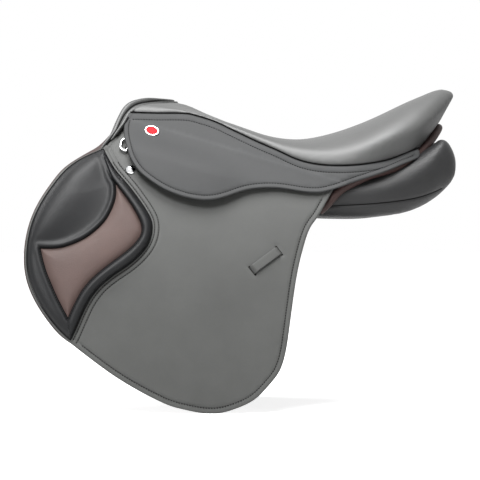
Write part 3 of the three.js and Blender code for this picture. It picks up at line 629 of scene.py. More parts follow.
# ---- Outlines seen from the side: x, z -----------------------------------------------------------
FLAP_LINE = curve([
    (-163, 411), (-170, 404), (-180, 396.5), (-190, 385.5), (-199, 374), (-208, 368), (-221, 362.5),
    (-236, 354.5), (-254.8, 340.4), (-269.3, 321.8), (-282.7, 301.4), (-294, 278.8), (-301.5, 254.2),
    (-305, 228.6), (-304.5, 202.6), (-298.6, 177.2), (-287.5, 153.4), (-273.1, 131.6), (-256.7, 112),
    (-237, 95), (-197.3, 64.9), (-156, 37.9), (-110.4, 14.6), (-85.5, 6.5), (-59.4, 1.2), (-32.7, 0.6),
    (-7, 7.9), (16.8, 19.9), (36.3, 39.2), (52.2, 61.1), (60.4, 89.4), (64.5, 116.6), (70.4, 159.9),
    (76, 194.1), (83, 224.2), (92.8, 254.6), (103.2, 270.2), (113, 286), (121.9, 301.6), (129, 315),
], 2.6, smooth=3)
PAD_FRONT = curve([
    (-199, 370.5), (-222, 360.3), (-237, 351.6), (-252, 339.1), (-267.3, 320), (-280.3, 300),
    (-291.5, 277.2), (-298.8, 253.5), (-302.2, 228.5), (-301.7, 203.3), (-296, 178.3), (-285, 155),
    (-270.8, 134), (-254.6, 115), (-240, 101.5),
], 1.8, smooth=2)
PAD_REAR = curve([
    (-199, 370.5), (-184, 344), (-168, 324.6), (-154.5, 308.3), (-141.3, 290.2), (-130.6, 272.4),
    (-127.3, 258), (-130, 241.7), (-140.4, 224.1), (-159.3, 206.3), (-180, 192), (-200.7, 174.5),
    (-214.8, 155.3), (-224.2, 136.2), (-234.4, 112.4), (-240, 101.5),
], 1.8, smooth=2)
INSERT_TOP = curve([
    (-283.8, 229.5), (-258, 230), (-236.7, 236.3), (-219.1, 245.2), (-203.3, 257.7), (-191.1, 272),
    (-182.5, 290.1), (-179.2, 306.3), (-180.5, 322),
], 1.5, smooth=2)
INSERT_LEFT = curve([
    (-283.8, 229.5), (-276, 201), (-266.5, 177.7), (-256.6, 156.5), (-242.8, 131),
], 1.5, smooth=1)
INSERT_RIGHT = curve([
    (-242.8, 131), (-238, 142.8), (-230.3, 158.7), (-219.3, 176.2), (-202, 193.8), (-179.8, 211.3),
    (-159.2, 227.3), (-145.1, 243.4), (-141.3, 256.2), (-143.7, 267), (-150.4, 280.4), (-162.1, 298.3),
    (-180.5, 322),
], 1.5, smooth=2)
PAD_CREASE = curve([(-180.5, 322), (-186.6, 332), (-192, 347), (-196, 358)], 1.5)
SKIRT_EDGE = curve([
    (-164.5, 424.4), (-169, 412), (-170.3, 400), (-169, 388.2), (-166, 376.4), (-162.5, 364), (-157, 352),
    (-147, 338), (-136.5, 328.8), (-125, 320.6), (-110.3, 311.8), (-91.6, 304), (-74.6, 299.2),
    (-58, 296.8), (-45.5, 296.8), (-32.5, 298.8), (-18, 303.3), (-2, 308.9), (11.1, 312.1), (27, 313.8),
    (45.4, 314), (65.2, 311.6), (84.8, 308.4), (102.6, 307.2), (114.5, 308.5), (130.3, 312.6),
    (146.2, 318.2), (164.1, 324.5), (184.2, 331), (204.4, 338.2), (224.8, 346.8), (241.3, 353.3),
    (250, 356.8),
], 2.4, smooth=3)
SKIRT_END = np.array([(250, 356.8), (252.6, 359.2), (253.2, 363), (252, 367.8), (250.1, 371.8)])
# The seam under the seat: x, half width, z.
SEAM = [
    (-172, 54.5, 424.8), (-157, 56, 424.5), (-122, 57.4, 423.4), (-85, 59.5, 423), (-66, 61.8, 419.3),
    (-42, 66, 411.6), (-20, 73, 401), (0, 81, 391.1), (18, 88.4, 382.2), (36, 95.5, 374),
    (53, 101.8, 366.3), (70, 107.5, 358), (87, 112, 351.9), (105, 115.6, 348.1), (121, 118, 346.5),
    (137, 119.4, 346), (151, 119.3, 346.3), (166, 117.5, 347.4), (180, 113.5, 349.3), (193, 108.4, 351.5),
    (207, 102.3, 354.8), (220, 96, 359.5), (236, 88, 366.2), (250, 80, 371.8), (262, 72, 376),
]
# The skirt's outer face along its lower edge, behind the fold: x, half width, z.
TAIL = [
    (120, 136.5, 309.6), (144, 132.3, 317.4), (164, 128.5, 324.5), (184, 124.5, 331), (204, 118, 338.2),
    (225, 107, 346.8), (241, 96, 353.3), (250, 89, 356.8), (262, 80, 361),
]


def along_x(table, column):
    """A smooth function of x through one column of a table."""
    line = cubic(table, np.linspace(0, 1, 400))
    return lambda x: np.interp(x, line[:, 0], line[:, column])


seam_y, seam_z = along_x(SEAM, 1), along_x(SEAM, 2)
tail_y, tail_z = along_x(TAIL, 1), along_x(TAIL, 2)


# ---- Skirt ---------------------------------------------------------------------------------------
SKIRT_LIFT = 5.0  # the hanging skirt's gap to the flap
SKIRT_DROP = 46  # depth below the fold at which the gap is full
BAR_SWELL = 6.0  # extra lift over the stirrup bar
BAR_MIDDLE, BAR_REACH = -92, 80
BEHIND_FOLD = (132, 158)  # the skirt's head turns into its tail over this stretch of x
STITCH_IN = 6.6  # the edge stitching runs this far inside the edge
STITCH_DEEP = 0.55
SEAM_BAND = 9.0  # plain band between the seat's seam and the first stitching
SEAM_SLANT = 0.86  # a step down in z, measured square to the slanting seam
FOLD_BULGE = 0.3  # a straight row on the fold would leave flat triangles


def skirt_lift(x, z):
    """The hanging skirt stands off the flap, most of all over the stirrup bar."""
    over_bar = np.exp(-(((x - BAR_MIDDLE) / BAR_REACH) ** 4))
    return (SKIRT_LIFT + BAR_SWELL * over_bar) * smoothstep(0, SKIRT_DROP, fold_z(x) - z)


def hanging_face(x, z):
    """Half width of the hanging skirt's outer face."""
    sx, sz = slopes(x, z)
    return width(x, z) + (SKIRT_OUT + skirt_lift(x, z)) * np.sqrt(1 + sx**2 + sz**2)


def skirt_face(x, z):
    """Half width of the skirt's outer face: it hangs over the flap, and above the fold runs to the seat."""
    zf = fold_z(x)
    hanging = hanging_face(x, z)
    fold_point = hanging_face(x, zf)
    steep = hanging_face(x, zf - 1) - fold_point
    behind = smoothstep(*BEHIND_FOLD, x)
    low_z = zf * (1 - behind) + tail_z(x) * behind
    low_y = fold_point * (1 - behind) + tail_y(x) * behind
    top_y, top_z = seam_y(x), seam_z(x)
    rise = np.maximum(top_z - low_z, 1.0)
    chord = low_y - top_y
    end = (steep * rise) * (1 - behind) + 0.75 * chord * behind
    t = (top_z - z) / rise
    head = top_y + (2 * chord - end) * t + (end - chord) * t * t
    return np.where((zf > z) & (x < FOLD_REAR[0] + 0.01), hanging, head)


def skirt_relief(x, z, d):
    """Height of the skirt's surface against its plain face."""
    from_seam = (seam_z(x) - z) * SEAM_SLANT
    edge_band = 0.5 * bell(d - 1.9, 1.5)
    edge_groove = STITCH_DEEP * bell(d - STITCH_IN, 0.9)
    seam_groove = STITCH_DEEP * bell(from_seam - SEAM_BAND, 0.9) * smoothstep(2, 6, d)
    seam_tuck = 2.6 * np.exp(-np.clip(from_seam, 0, None) / 1.1)
    return edge_band - edge_groove - seam_groove - seam_tuck


def skirt_levels(sign):
    """The skirt's outer surface for sign 1, its inner one for -1."""

    def level(x, z, d):
        middle = skirt_face(x, z) - SKIRT_THICK / 2
        half = round_edge(d, SKIRT_THICK)
        y = middle + half + skirt_relief(x, z, d) if sign > 0 else middle - half
        return np.stack([x, -y, z], -1)

    return level


def fold_row(x0, x1, step=3.0):
    """Side-view points along the fold, from x0 to x1."""
    s = np.linspace(0, 1, max(2, int(abs(x1 - x0) / step) + 1))
    x = x0 + (x1 - x0) * s
    return np.stack([x, fold_z(x) + FOLD_BULGE * (1 - (2 * s - 1) ** 2)], 1)


skirt_above = SKIRT_EDGE[:, 1] > fold_z(SKIRT_EDGE[:, 0])
first_below = int(np.argmin(skirt_above))
last_below = len(skirt_above) - 1 - int(np.argmin(skirt_above[::-1]))


def meet(a, b):
    """Where the edge between two points crosses the fold."""
    fa, fb = a[1] - fold_z(a[0]), b[1] - fold_z(b[0])
    return a + (b - a) * fa / (fa - fb)


FOLD_START = meet(SKIRT_EDGE[first_below - 1], SKIRT_EDGE[first_below])
FOLD_END = meet(SKIRT_EDGE[last_below], SKIRT_EDGE[last_below + 1])
FOLD_CUT = fold_row(FOLD_START[0], FOLD_END[0])
FREE_EDGE = np.concatenate([SKIRT_EDGE, SKIRT_END])
seam_x = np.linspace(250.1, -164.5, 150)
SEAM_LINE = np.stack([seam_x, seam_z(seam_x)], 1)
SEAM_STITCH = SEAM_LINE[::-1] - (0, SEAM_BAND / SEAM_SLANT)
EDGE_ROWS = (0.15, 0.55, 1.2, 2.1, 3.4, 4.8) + tuple(STITCH_IN + g for g in (-1.2, -0.6, 0, 0.6, 1.3))
GROOVE = (-1.2, -0.6, 0, 0.6, 1.2)


def on_fold(x, z):
    return (np.abs(z - fold_z(x)) < 0.4) & (x > FOLD_START[0] - 0.01) & (x < FOLD_END[0] + 0.01)


def on_seam(x, z):
    return np.abs(z - seam_z(x)) < 0.3


def even_fold(made):
    """Gives both parts of the skirt the same shading normals where they meet on the fold."""
    for side_name, obj in made.items():
        mesh = obj.data
        co = positions(mesh) / MM
        q = co[:, [0, 2]]
        meets = on_fold(q[:, 0], q[:, 1])
        n = surface_normals(skirt_face, q) * (1, SIDES[side_name], 1)
        loop_normals = [(0.0, 0.0, 0.0)] * len(mesh.loops)
        for face in mesh.polygons:
            for loop, v in zip(face.loop_indices, face.vertices):
                if meets[v] and n[v].dot(face.normal) > 0.7:
                    loop_normals[loop] = tuple(n[v])
        mesh.normals_split_custom_set(loop_normals)


def build_skirt():
    moving = closed(
        np.concatenate([[FOLD_START], SKIRT_EDGE[first_below : last_below + 1], [FOLD_END]]), FOLD_CUT[::-1]
    )
    head = closed(
        np.concatenate([[FOLD_END], SKIRT_EDGE[last_below + 1 :]]), SKIRT_END, SEAM_LINE,
        np.concatenate([[SEAM_LINE[-1]], SKIRT_EDGE[:first_below], [FOLD_START]]), FOLD_CUT,
    )
    seam_rows = [(SEAM_LINE, (0.5, 1.2, 2.2, 3.6)), (SEAM_STITCH, GROOVE)]
    top, under = skirt_levels(1), skirt_levels(-1)
    cut = lambda x, z: on_fold(x, z) | on_seam(x, z)
    v, f = sheet(moving, top, under, EDGE_ROWS, [(SEAM_STITCH, GROOVE)], edge=FREE_EDGE, cut=cut)
    even_fold(pair("skirt", v, f, SKIRT_LEATHER, "{side}_skirt_group", ["skirt"]))
    v, f = sheet(head, top, under, EDGE_ROWS, seam_rows, edge=FREE_EDGE, cut=cut)
    even_fold(pair("skirt_head", v, f, SKIRT_LEATHER, "saddle", ["skirt_head"]))


LAST_STITCH_X = 244  # the edge stitching stops here, before the tail's end


def skirt_stitching():
    """Stitches round the free edge and under the seam, split at the fold between the two pieces."""
    inner = beside(FREE_EDGE, STITCH_IN)
    inner = inner[(inner[:, 1] < seam_z(inner[:, 0]) - 3) & (inner[:, 0] < LAST_STITCH_X)]
    seam = SEAM_STITCH[distance(SEAM_STITCH, FREE_EDGE) > STITCH_IN - 0.3]
    for name, line in (("edge", inner), ("seam", seam)):
        fixed = line[:, 1] > fold_z(line[:, 0])
        for part, mask in (("head", fixed), ("hanging", ~fixed)):
            runs = np.split(np.arange(len(line)), np.where(np.diff(mask.astype(int)) != 0)[0] + 1)
            found = []
            for run in runs:
                if len(run) > 3 and mask[run[0]]:
                    q = line[run]
                    p = skirt_levels(1)(q[:, 0], q[:, 1], distance(q, FREE_EDGE))
                    found.append(stitches(p, surface_normals(skirt_face, q)))
            if found:
                v, f = joined(found)
                body = "saddle" if part == "head" else "{side}_skirt_group"
                pair(f"skirt_{name}_stitching_{part}", v, f, THREAD, body)


def build_seat_seam():
    """The dark thread line where the seat is sewn to the skirt."""
    x = np.linspace(-162, 252, 160)
    line = np.stack([x, -(seam_y(x) - 0.3), seam_z(x) + 0.2], 1)
    v, f = cord(line, 0.9)
    pair("seat_seam", v, f, DARK_SEAM_AND_SHADE, "saddle")


def surface_normals(face, q):
    """Outward normals of a surface y = -face(x, z) at side-view points."""
    x, z, h = q[:, 0], q[:, 1], 1.0
    sx = (face(x + h, z) - face(x - h, z)) / (2 * h)
    sz = (face(x, z + h) - face(x, z - h)) / (2 * h)
    return unit(np.stack([-sx, -np.ones_like(x), -sz], -1))


# ---- Flap ----------------------------------------------------------------------------------------
FLAP_STITCH_IN = STITCH_IN + 1
PAD_SEWN = (3.5, 9.5)  # two rows of stitching on the flap beside the knee pad
KEEPER = dict(x=32, z=211, length=47, width=12.5, spin=0.99)


def keeper_slits():
    """Outlines of the two slits that the keeper's ends go through, with slightly rounded ends."""
    half_w, half_l = KEEPER["width"] / 2 + 1.6, 1.5
    steps = (-1, -0.5, 0, 0.5, 1)
    slot = [(-1, b) for b in steps] + [(0, 1.08)] + [(1, b) for b in steps[::-1]] + [(0, -1.08)]
    loops = []
    for end in (-1, 1):
        ring = [(end * KEEPER["length"] / 2 + a * half_l, 0, b * half_w) for a, b in slot]
        p = place(ring, KEEPER["x"], KEEPER["z"], FLAP_THICK / 2, KEEPER["spin"])
        loops.append(turned(p[:, [0, 2]]))
    return loops


def rounded_box(x0, x1, z0, z1, radius, step=4.0):
    """A rectangle with rounded corners, as a closed outline."""
    line = []
    for cx, cz, start in ((x1, z1, 0), (x0, z1, 1), (x0, z0, 2), (x1, z0, 3)):
        inset_x = cx - radius * (1 if cx == x1 else -1)
        inset_z = cz - radius * (1 if cz == z1 else -1)
        for a in np.linspace(start * math.pi / 2, (start + 1) * math.pi / 2, 5):
            line.append((inset_x + radius * math.cos(a), inset_z + radius * math.sin(a)))
    line = np.array(line + line[:1])
    return resample(line, int(length_of(line) / step) + 2)[:-1]


BAR_WINDOW = (-149, -55, 340, 374)  # opening in the flap for the stirrup bar: x0, x1, z0, z1


def build_flap():
    slits = keeper_slits()
    top_edge = fold_row(121, -160) - (0, 2.5)
    outline = closed(FLAP_LINE, np.concatenate([[FLAP_LINE[-1]], top_edge[1:-1], [FLAP_LINE[0]]]))

    def levels(sign):
        def level(x, z, d):
            q = np.stack([x, z], -1)
            half = round_edge(d, FLAP_THICK)
            if sign < 0:
                return side(x, z, FLAP_THICK / 2 - half)
            relief = 0.3 * (1 - smoothstep(STITCH_IN - 3, STITCH_IN, d))
            relief = relief - STITCH_DEEP * bell(d - FLAP_STITCH_IN, 0.9)
            pad = distance(q, PAD_REAR)
            for row in PAD_SEWN:
                relief = relief - 0.5 * bell(pad - row, 0.8)
            relief = relief + 0.25 * bell(pad - 6.5, 2.2)
            ripple = np.sin(x / 37 + 1.3 * np.sin(z / 53)) * np.sin(z / 41 + 0.7)
            relief = relief + 0.35 * ripple
            for slit in slits:
                relief = relief - 0.5 * bell(distance(q, slit, True), 1.6)
            return side(x, z, FLAP_THICK / 2 + half + relief)

        return level

    rows = tuple(r + 1 if r > 4 else r for r in EDGE_ROWS)
    pad_rows = [(PAD_REAR, (2.3, 2.9, 3.5, 4.1, 4.8, 6.5, 8.3, 8.9, 9.5, 10.1, 10.8))]
    holes = slits + [rounded_box(*BAR_WINDOW, 5)]
    v, f = sheet(outline, levels(1), levels(-1), rows, pad_rows, holes=holes)
    pair("flap", v, f, FLAP_LEATHER, "{side}_flap_group", ["flap"])


def flap_path(line):
    """Points on the flap's outer face along a side-view line, and its normals there."""
    return side(line[:, 0], line[:, 1], FLAP_THICK), side_normals(line[:, 0], line[:, 1])


PAD_FOOT = (-228, 92)  # the edge stitching starts here, at the knee pad's lower end


def flap_stitching():
    """Stitches along the flap's edge below the knee pad, and two rows beside the pad."""
    found = []
    start = int(np.argmin(np.hypot(*(FLAP_LINE - PAD_FOOT).T)))
    edge = FLAP_LINE + inward(FLAP_LINE, False) * FLAP_STITCH_IN
    keep = (np.arange(len(edge)) > start) & (np.abs(distance(edge, FLAP_LINE) - FLAP_STITCH_IN) < 0.05)
    edge = edge[keep & (edge[:, 1] < 300)]
    found.append(stitches(*flap_path(edge)))
    for row in PAD_SEWN:
        line = beside(PAD_REAR, row)
        line = line[(distance(line, FLAP_LINE) > 4) & (line[:, 1] < 352)]
        found.append(stitches(*flap_path(line)))
    v, f = joined(found)
    pair("flap_stitching", v, f, THREAD, "{side}_flap_group")


# ---- Knee pad ------------------------------------------------------------------------------------
SEAM_LEVEL = 4.5  # height of the insert's seam above the flap
PAD_BASE = FLAP_THICK + 0.2  # underside of what is sewn on the flap
PAD_GRID = 2.2
TUBE_HIGH = 9.5
ROLL_HIGH = 17
RIDGE_HIGH = 3.4
PAD_OUTLINE = closed(PAD_FRONT, PAD_REAR[::-1])
INSERT_OUTLINE = closed(INSERT_LEFT, INSERT_RIGHT, INSERT_TOP[::-1])
ROLL_INNER = np.concatenate([INSERT_RIGHT, PAD_CREASE[1:]])
SEAMS = [INSERT_TOP, INSERT_LEFT, ROLL_INNER]


def pad_height(x, z):
    """Height of the knee pad above the flap: a tube down its rear edge, a roll down its front and a bowl."""
    q = np.stack([x, z], -1)
    front, rear = distance(q, PAD_FRONT), distance(q, PAD_REAR)
    seam = np.min([distance(q, s) for s in SEAMS], axis=0)
    tube_seam = distance(q, ROLL_INNER)
    # tube
    s = rear / (rear + tube_seam + 1e-6)
    girth = np.clip((rear + tube_seam) / 13, 0.35, 1.1)
    rounding = np.sqrt(np.clip(1 - np.abs(1 - 2 * s) ** 2.2, 0, 1))
    tube_top = s * SEAM_LEVEL * 0.9 + TUBE_HIGH * girth * rounding
    # a roll down the front edge, falling to a bowl, and a stitched ridge beside the insert
    t = front / (front + seam + 1e-6)
    level = SEAM_LEVEL + 5 * smoothstep(322, 346, z)
    rest = ROLL_HIGH * (1 - np.exp(-((front / 12) ** 1.1))) * (1 - 0.66 * smoothstep(0.1, 0.95, t))
    rest = rest + RIDGE_HIGH * bell(seam - 4, 4.2)
    rest = level + (rest - level) * (1 - np.exp(-((seam / 1.6) ** 1.3)))
    rest = rest * (1 - np.exp(-front / 1.4))
    recess = SEAM_LEVEL - 1.2
    in_tube = inside(q, turned(np.concatenate([PAD_REAR, ROLL_INNER])))
    in_insert = inside(q, INSERT_OUTLINE)
    return np.where(in_insert, recess, np.where(in_tube, tube_top, rest))


def build_knee_pad():
    top = lambda x, z, d: side(x, z, PAD_BASE + np.where(d <= 0, 0.0, pad_height(x, z)))
    under = lambda x, z, d: side(x, z, PAD_BASE)
    rows = (0.15, 0.4, 0.8, 1.4, 2.2, 3.2, 4.4, 5.8, 7.4, 9.2)
    near = (0.3, 0.8, 1.5, 2.4, 3.6, 5.2)
    offsets = tuple(-r for r in near[::-1]) + near
    v, f = sheet(PAD_OUTLINE, top, under, rows, [(s, offsets) for s in SEAMS], spacing=PAD_GRID)
    pair("knee_pad", v, f, PAD_LEATHER, "{side}_flap_group", ["knee_pad"])


def dark_line(name, line, level, radius):
    """A thin near-black cord lying along a seam of the knee pad; along the pad's rear edge it is also painted
    shade under the rolled edge.
    """
    v, f = cord(side(line[:, 0], line[:, 1], level), radius)
    pair(name, v, f, DARK_SEAM_AND_SHADE, "{side}_flap_group")


def build_pad_seams():
    # the cord along the pad's rear edge is partly the seam and partly painted shadow under the rolled edge
    dark_line("pad_rear_seam_and_shade", PAD_REAR, FLAP_THICK + 0.3, 0.9)
    dark_line("pad_front_seam", PAD_FRONT, PAD_BASE, 0.6)
    level = FLAP_THICK + SEAM_LEVEL - 0.1
    for name, line in (("top", INSERT_TOP), ("left", INSERT_LEFT), ("right", INSERT_RIGHT)):
        dark_line(f"insert_{name}_seam", line, level, 0.75)


def build_knee_insert():
    """The brown insert, crowned between its seams, and the stitches beside it."""
    level = FLAP_THICK + SEAM_LEVEL
    top = lambda x, z, d: side(x, z, level - 0.8 + 6.2 * (1 - np.exp(-((d / 8) ** 1.1))))
    under = lambda x, z, d: side(x, z, level - 0.9)
    rows = (0.2, 0.6, 1.2, 2, 3, 4.4, 6)
    v, f = sheet(INSERT_OUTLINE, top, under, rows, spacing=PAD_GRID)
    pair("knee_insert", v, f, BROWN_LEATHER, "{side}_flap_group", ["knee_insert"])
    found = []
    for line, off in ((INSERT_TOP, 1.7), (INSERT_LEFT, -1.6), (INSERT_RIGHT, -1.6)):
        row = beside(line, off)
        p = side(row[:, 0], row[:, 1], PAD_BASE + pad_height(row[:, 0], row[:, 1]))
        found.append(stitches(p, side_normals(row[:, 0], row[:, 1]), pitch=3.6, stitch=2.6))
    v, f = joined(found)
    pair("knee_insert_stitching", v, f, THREAD, "{side}_flap_group")


# ---- Seat ----------------------------------------------------------------------------------------
SEAT_CENTRE = [
    (-94.5, 0, 441.8), (-78, 0, 437.5), (-58, 0, 428), (-33, 0, 417.2), (-4, 0, 405), (25, 0, 394),
    (55, 0, 388.2), (84, 0, 387.6), (115, 0, 392.8), (148, 0, 402.3), (183, 0, 415.6), (214, 0, 429.8),
    (241, 0, 442.6), (265, 0, 452.8), (290, 0, 461), (310.5, 0, 454),
]
SEAT_RIM = [
    (-158, 49, 431.5), (-121, 52, 430.5), (-84, 56.5, 427.5), (-46, 63.5, 416.5), (0, 78.5, 395.5),
    (36, 93, 380), (70, 105, 364.5), (105, 113.5, 355), (137, 118.2, 352.5), (166, 118, 358),
    (193, 114, 371), (216, 108.5, 383), (240, 97, 394.5), (267, 74, 412), (291, 40, 434), (310.5, 0, 454),
]
SEAT_EDGE = [
    (-159, 55, 424.5), (-122, 57, 423.4), (-85, 59, 423), (-46, 65, 412.8), (0, 81, 391.1), (36, 95.5, 374),
    (70, 107.5, 358), (105, 115.6, 348.1), (137, 119.4, 346), (166, 117.3, 347.4), (193, 108.4, 351.5),
    (220, 96, 359.5), (243, 84.5, 369.5), (262, 64, 387), (278, 38, 403.5), (290, 0, 418),
]
RIM_AT = 0.8  # share of the way from the centre to the edge at which the rim runs


def mirrored_curve(points, t):
    """A curve that crosses the centre plane at its last point without a kink."""
    more = [tuple(np.array(p) * (1, -1, 1)) for p in points[-2:-5:-1]]
    return cubic(points + more, np.asarray(t) * (len(points) - 1) / (len(points) + len(more) - 1))


def seat_rows(u):
    return cubic(SEAT_CENTRE, u), mirrored_curve(SEAT_RIM, u), mirrored_curve(SEAT_EDGE, u)


def seat_surface(u, v):
    """Seat points for arrays u (pommel to cantle) and v (-1 left edge, 0 centre, 1 right edge)."""
    uu, vv = np.meshgrid(u, v, indexing="ij")
    shape = uu.shape
    centre, rim, edge = (c.reshape(*shape, 3) for c in seat_rows(uu.ravel()))
    for c in (rim, edge):
        c[..., 1] = np.maximum(0, c[..., 1])
    share = np.abs(vv)
    out = np.clip(share / RIM_AT, 0, 1)[..., None]
    top = centre + (rim - centre) * out
    dome = np.clip(1 - out[..., 0] ** 2.4, 0, 1) ** (0.5 + 0.22 * smoothstep(0.62, 0.8, uu))
    top[..., 2] = rim[..., 2] + (centre[..., 2] - rim[..., 2]) * dome
    low = rim + (edge - rim) * np.clip((share - RIM_AT) / (1 - RIM_AT), 0, 1)[..., None]
    p = np.where((share <= RIM_AT)[..., None], top, low)
    p[..., 1] *= np.sign(vv)
    return p


def smooth_vertices(obj, rounds, factor=0.5, weight=None):
    """Evens out a mesh by moving each vertex towards the mean of its neighbours."""
    mesh = obj.data
    co = positions(mesh)
    n = len(co)
    e = np.zeros(len(mesh.edges) * 2, int)
    mesh.edges.foreach_get("vertices", e)
    e = e.reshape(-1, 2)
    count = np.bincount(e.ravel(), minlength=n)[:, None]
    w = factor if weight is None else factor * weight(co / MM)[:, None]
    for _ in range(rounds):
        total = np.zeros_like(co)
        for k in range(3):
            for a, b in ((0, 1), (1, 0)):
                total[:, k] += np.bincount(e[:, a], co[e[:, b], k], n)
        co += w * (total / count - co)
    mesh.vertices.foreach_set("co", co.ravel())
    mesh.update()


def remesh(obj, voxel):
    """Rebuilds a closed mesh with even faces, voxel millimetres wide."""
    mod = obj.modifiers.new("remesh", "REMESH")
    mod.mode = "VOXEL"
    mod.voxel_size = voxel * MM
    mod.use_smooth_shade = True
    apply_modifiers(obj)


def apply_modifiers(obj):
    """Bakes the modifiers into the mesh."""
    deps = bpy.context.evaluated_depsgraph_get()
    baked = bpy.data.meshes.new_from_object(obj.evaluated_get(deps), depsgraph=deps)
    obj.modifiers.clear()
    old = obj.data
    obj.data = baked
    bpy.data.meshes.remove(old)


def subdivide(obj):
    mod = obj.modifiers.new("subdivision", "SUBSURF")
    mod.levels = mod.render_levels = 1
    apply_modifiers(obj)


def build_seat():
    """The seat: its top from pommel to cantle, closed by a base inside its edges."""
    u = np.linspace(0, 1, 120) ** 0.9
    v = np.linspace(-1, 1, 121)
    over = seat_surface(u, v)
    tuck = smoothstep(0.90, 1.0, np.abs(v)) * 1.4
    over[..., 1] -= np.sign(v) * tuck
    nu, nv = len(u), len(v)
    low = over[:, [0, -1]].copy()
    tuck_in = 6
    low[:, 0, 1] = np.minimum(low[:, 0, 1] + tuck_in, -0.5)
    low[:, 1, 1] = np.maximum(low[:, 1, 1] - tuck_in, 0.5)
    back = smoothstep(0.75, 1, u)
    low[..., 2] -= (8 * (1 - back) + 1.5 * back)[:, None]
    shares = np.linspace(0, 1, 41)
    base = low[:, :1] * (1 - shares[None, :, None]) + low[:, 1:] * shares[None, :, None]
    rows = np.concatenate([over, base[:, ::-1]], 1)
    m = rows.shape[1]
    verts = rows.reshape(-1, 3)
    faces = grid_faces(nu, m, wrap_cols=True)
    faces += [tuple(range(m))[::-1], tuple(range((nu - 1) * m, nu * m))]
    nodes = ["seat_cover", "seat_foam"]
    seat = single("seat", verts, outward_faces(verts, faces), SEAT_LEATHER, nodes)
    remesh(seat, 3.2)
    cantle_x = 240
    above_seam = lambda p: smoothstep(2, 12, p[:, 2] - seam_z(p[:, 0]))
    seam_gap = lambda p: above_seam(p) * (p[:, 0] < cantle_x) + (p[:, 0] >= cantle_x)
    smooth_vertices(seat, 8, weight=seam_gap)
    smooth_vertices(seat, 2)
    subdivide(seat)


# ---- Head welts ----------------------------------------------------------------------------------
FRONT_WELT = [
    (-102, 0, 443.4), (-119, 14, 444.6), (-137.5, 26, 444), (-150.5, 34.5, 441.4), (-160.5, 41, 437.4),
    (-169, 48, 429.8), (-176, 56, 418), (-181.6, 66, 404.5), (-187, 75, 392), (-195.5, 82.5, 380),
    (-202, 87, 371),
]
REAR_WELT = [
    (-97, 0, 441), (-110, 10.5, 440.4), (-125, 21.5, 438.6), (-140, 33, 436.2), (-151.5, 42, 432.4),
    (-160.5, 49.5, 426.4), (-167.5, 57, 418), (-173, 67, 406.5), (-180, 75, 395), (-188, 81, 384),
]
ARCH_CENTRE = np.array([-60.0, 0.0, 330.0])  # the welts stand up away from this point
WELT_HALF = 2.3  # half the height of a welt
WELT_WIDTH = (2.1, 4.2)  # least and greatest half width


def whole_arch(half):
    """A line from one side's foot to the crown, and on down the other side."""
    return np.concatenate([half * (1, -1, 1), half[::-1][1:]])


def build_welts():
    """Two flat leather rolls side by side round the arch of the head, with a near-black cord sunk behind each
    as painted shade in the gap.
    """
    t = np.linspace(0, 1, 70)
    front = whole_arch(mirrored_curve(FRONT_WELT[::-1], t))
    across = whole_arch(mirrored_curve(REAR_WELT[::-1], t)) - front
    normal = np.cross(unit(np.gradient(front + 0.5 * across, axis=0)), across)
    gap = np.linalg.norm(normal, axis=1)
    normal /= gap[:, None]
    normal *= np.sign(np.sum(normal * (front - ARCH_CENTRE), axis=1) + 1e-9)[:, None]
    from_end = np.minimum(np.arange(len(front)), np.arange(len(front))[::-1])
    taper = 0.45 + 0.55 * smoothstep(0, 7, from_end)
    radii = np.stack([WELT_HALF * taper, np.clip(0.42 * gap, *WELT_WIDTH) * taper], 1)
    for name, share in (("front", 0), ("rear", 1)):
        v, f = tube(front + share * across, radii, 20, normals=normal)
        single(f"{name}_welt", v, f, WELT_LEATHER, [f"head_welt_{name}"])
    # the two cords below are painted shade: near-black lines sunk into the gaps between the welts and behind
    # the rear welt
    for name, share in (("welt_gap_shade", 0.5), ("seat_gap_shade", 1.5)):
        v, f = cord(front + share * across - 0.8 * normal, 2.0, 10)
        single(name, v, f, DARK_SEAM_AND_SHADE)


# ---- Panels --------------------------------------------------------------------------------------
# Cross-sections: x, half width and height of the middle, half axes across and up, and tilt in degrees.
PANEL_STATIONS = [
    (-198, 68, 322, 30, 3, 60), (-192, 66, 323, 42, 8, 60), (-170, 62, 325, 50, 10, 60),
    (-120, 57, 329, 52, 11, 59), (-60, 56, 333, 46, 15, 52), (0, 60, 324, 38, 20, 38),
    (55, 64, 311, 37, 25, 26), (95, 71, 304, 42, 28, 22), (137, 76, 305, 46, 30, 20),
    (172, 78, 307, 48, 31, 19), (208, 76, 312, 46, 33, 17), (237, 70, 319, 43, 36, 14),
    (262, 64, 331, 38, 39, 10), (276, 60, 341, 34, 41, 7), (286, 57, 349.5, 30, 42, 5),
    (298, 56, 350, 25, 30, 3), (305, 56, 348.5, 15, 18, 0), (308.2, 56, 348, 4, 6, 0),
]
PANEL_ROUND = 0.7  # 1 would make the section an ellipse, 0 a rectangle
PANEL_SHRINK = 2.0  # the panels start this much too small, and the cloth swells them back
PRESSURE, SWELL_CAP, SWELL_FRAMES = 4.0, 3.0, 20


def rounded(share):
    return np.sign(share) * np.abs(share) ** PANEL_ROUND


def panel_section(station, count, shrink):
    """One ring of points round the left panel."""
    x, y, z, reach, thick, tilt = station
    turn = math.radians(tilt)
    a = np.linspace(0, 2 * math.pi, count, endpoint=False)
    across = (reach - shrink) * rounded(np.cos(a))
    up = max(1.0, thick - shrink) * rounded(np.sin(a))
    out = across * math.cos(turn) + up * math.sin(turn)
    return np.stack([np.full(count, x), -(y + out), z - across * math.sin(turn) + up * math.cos(turn)], 1)


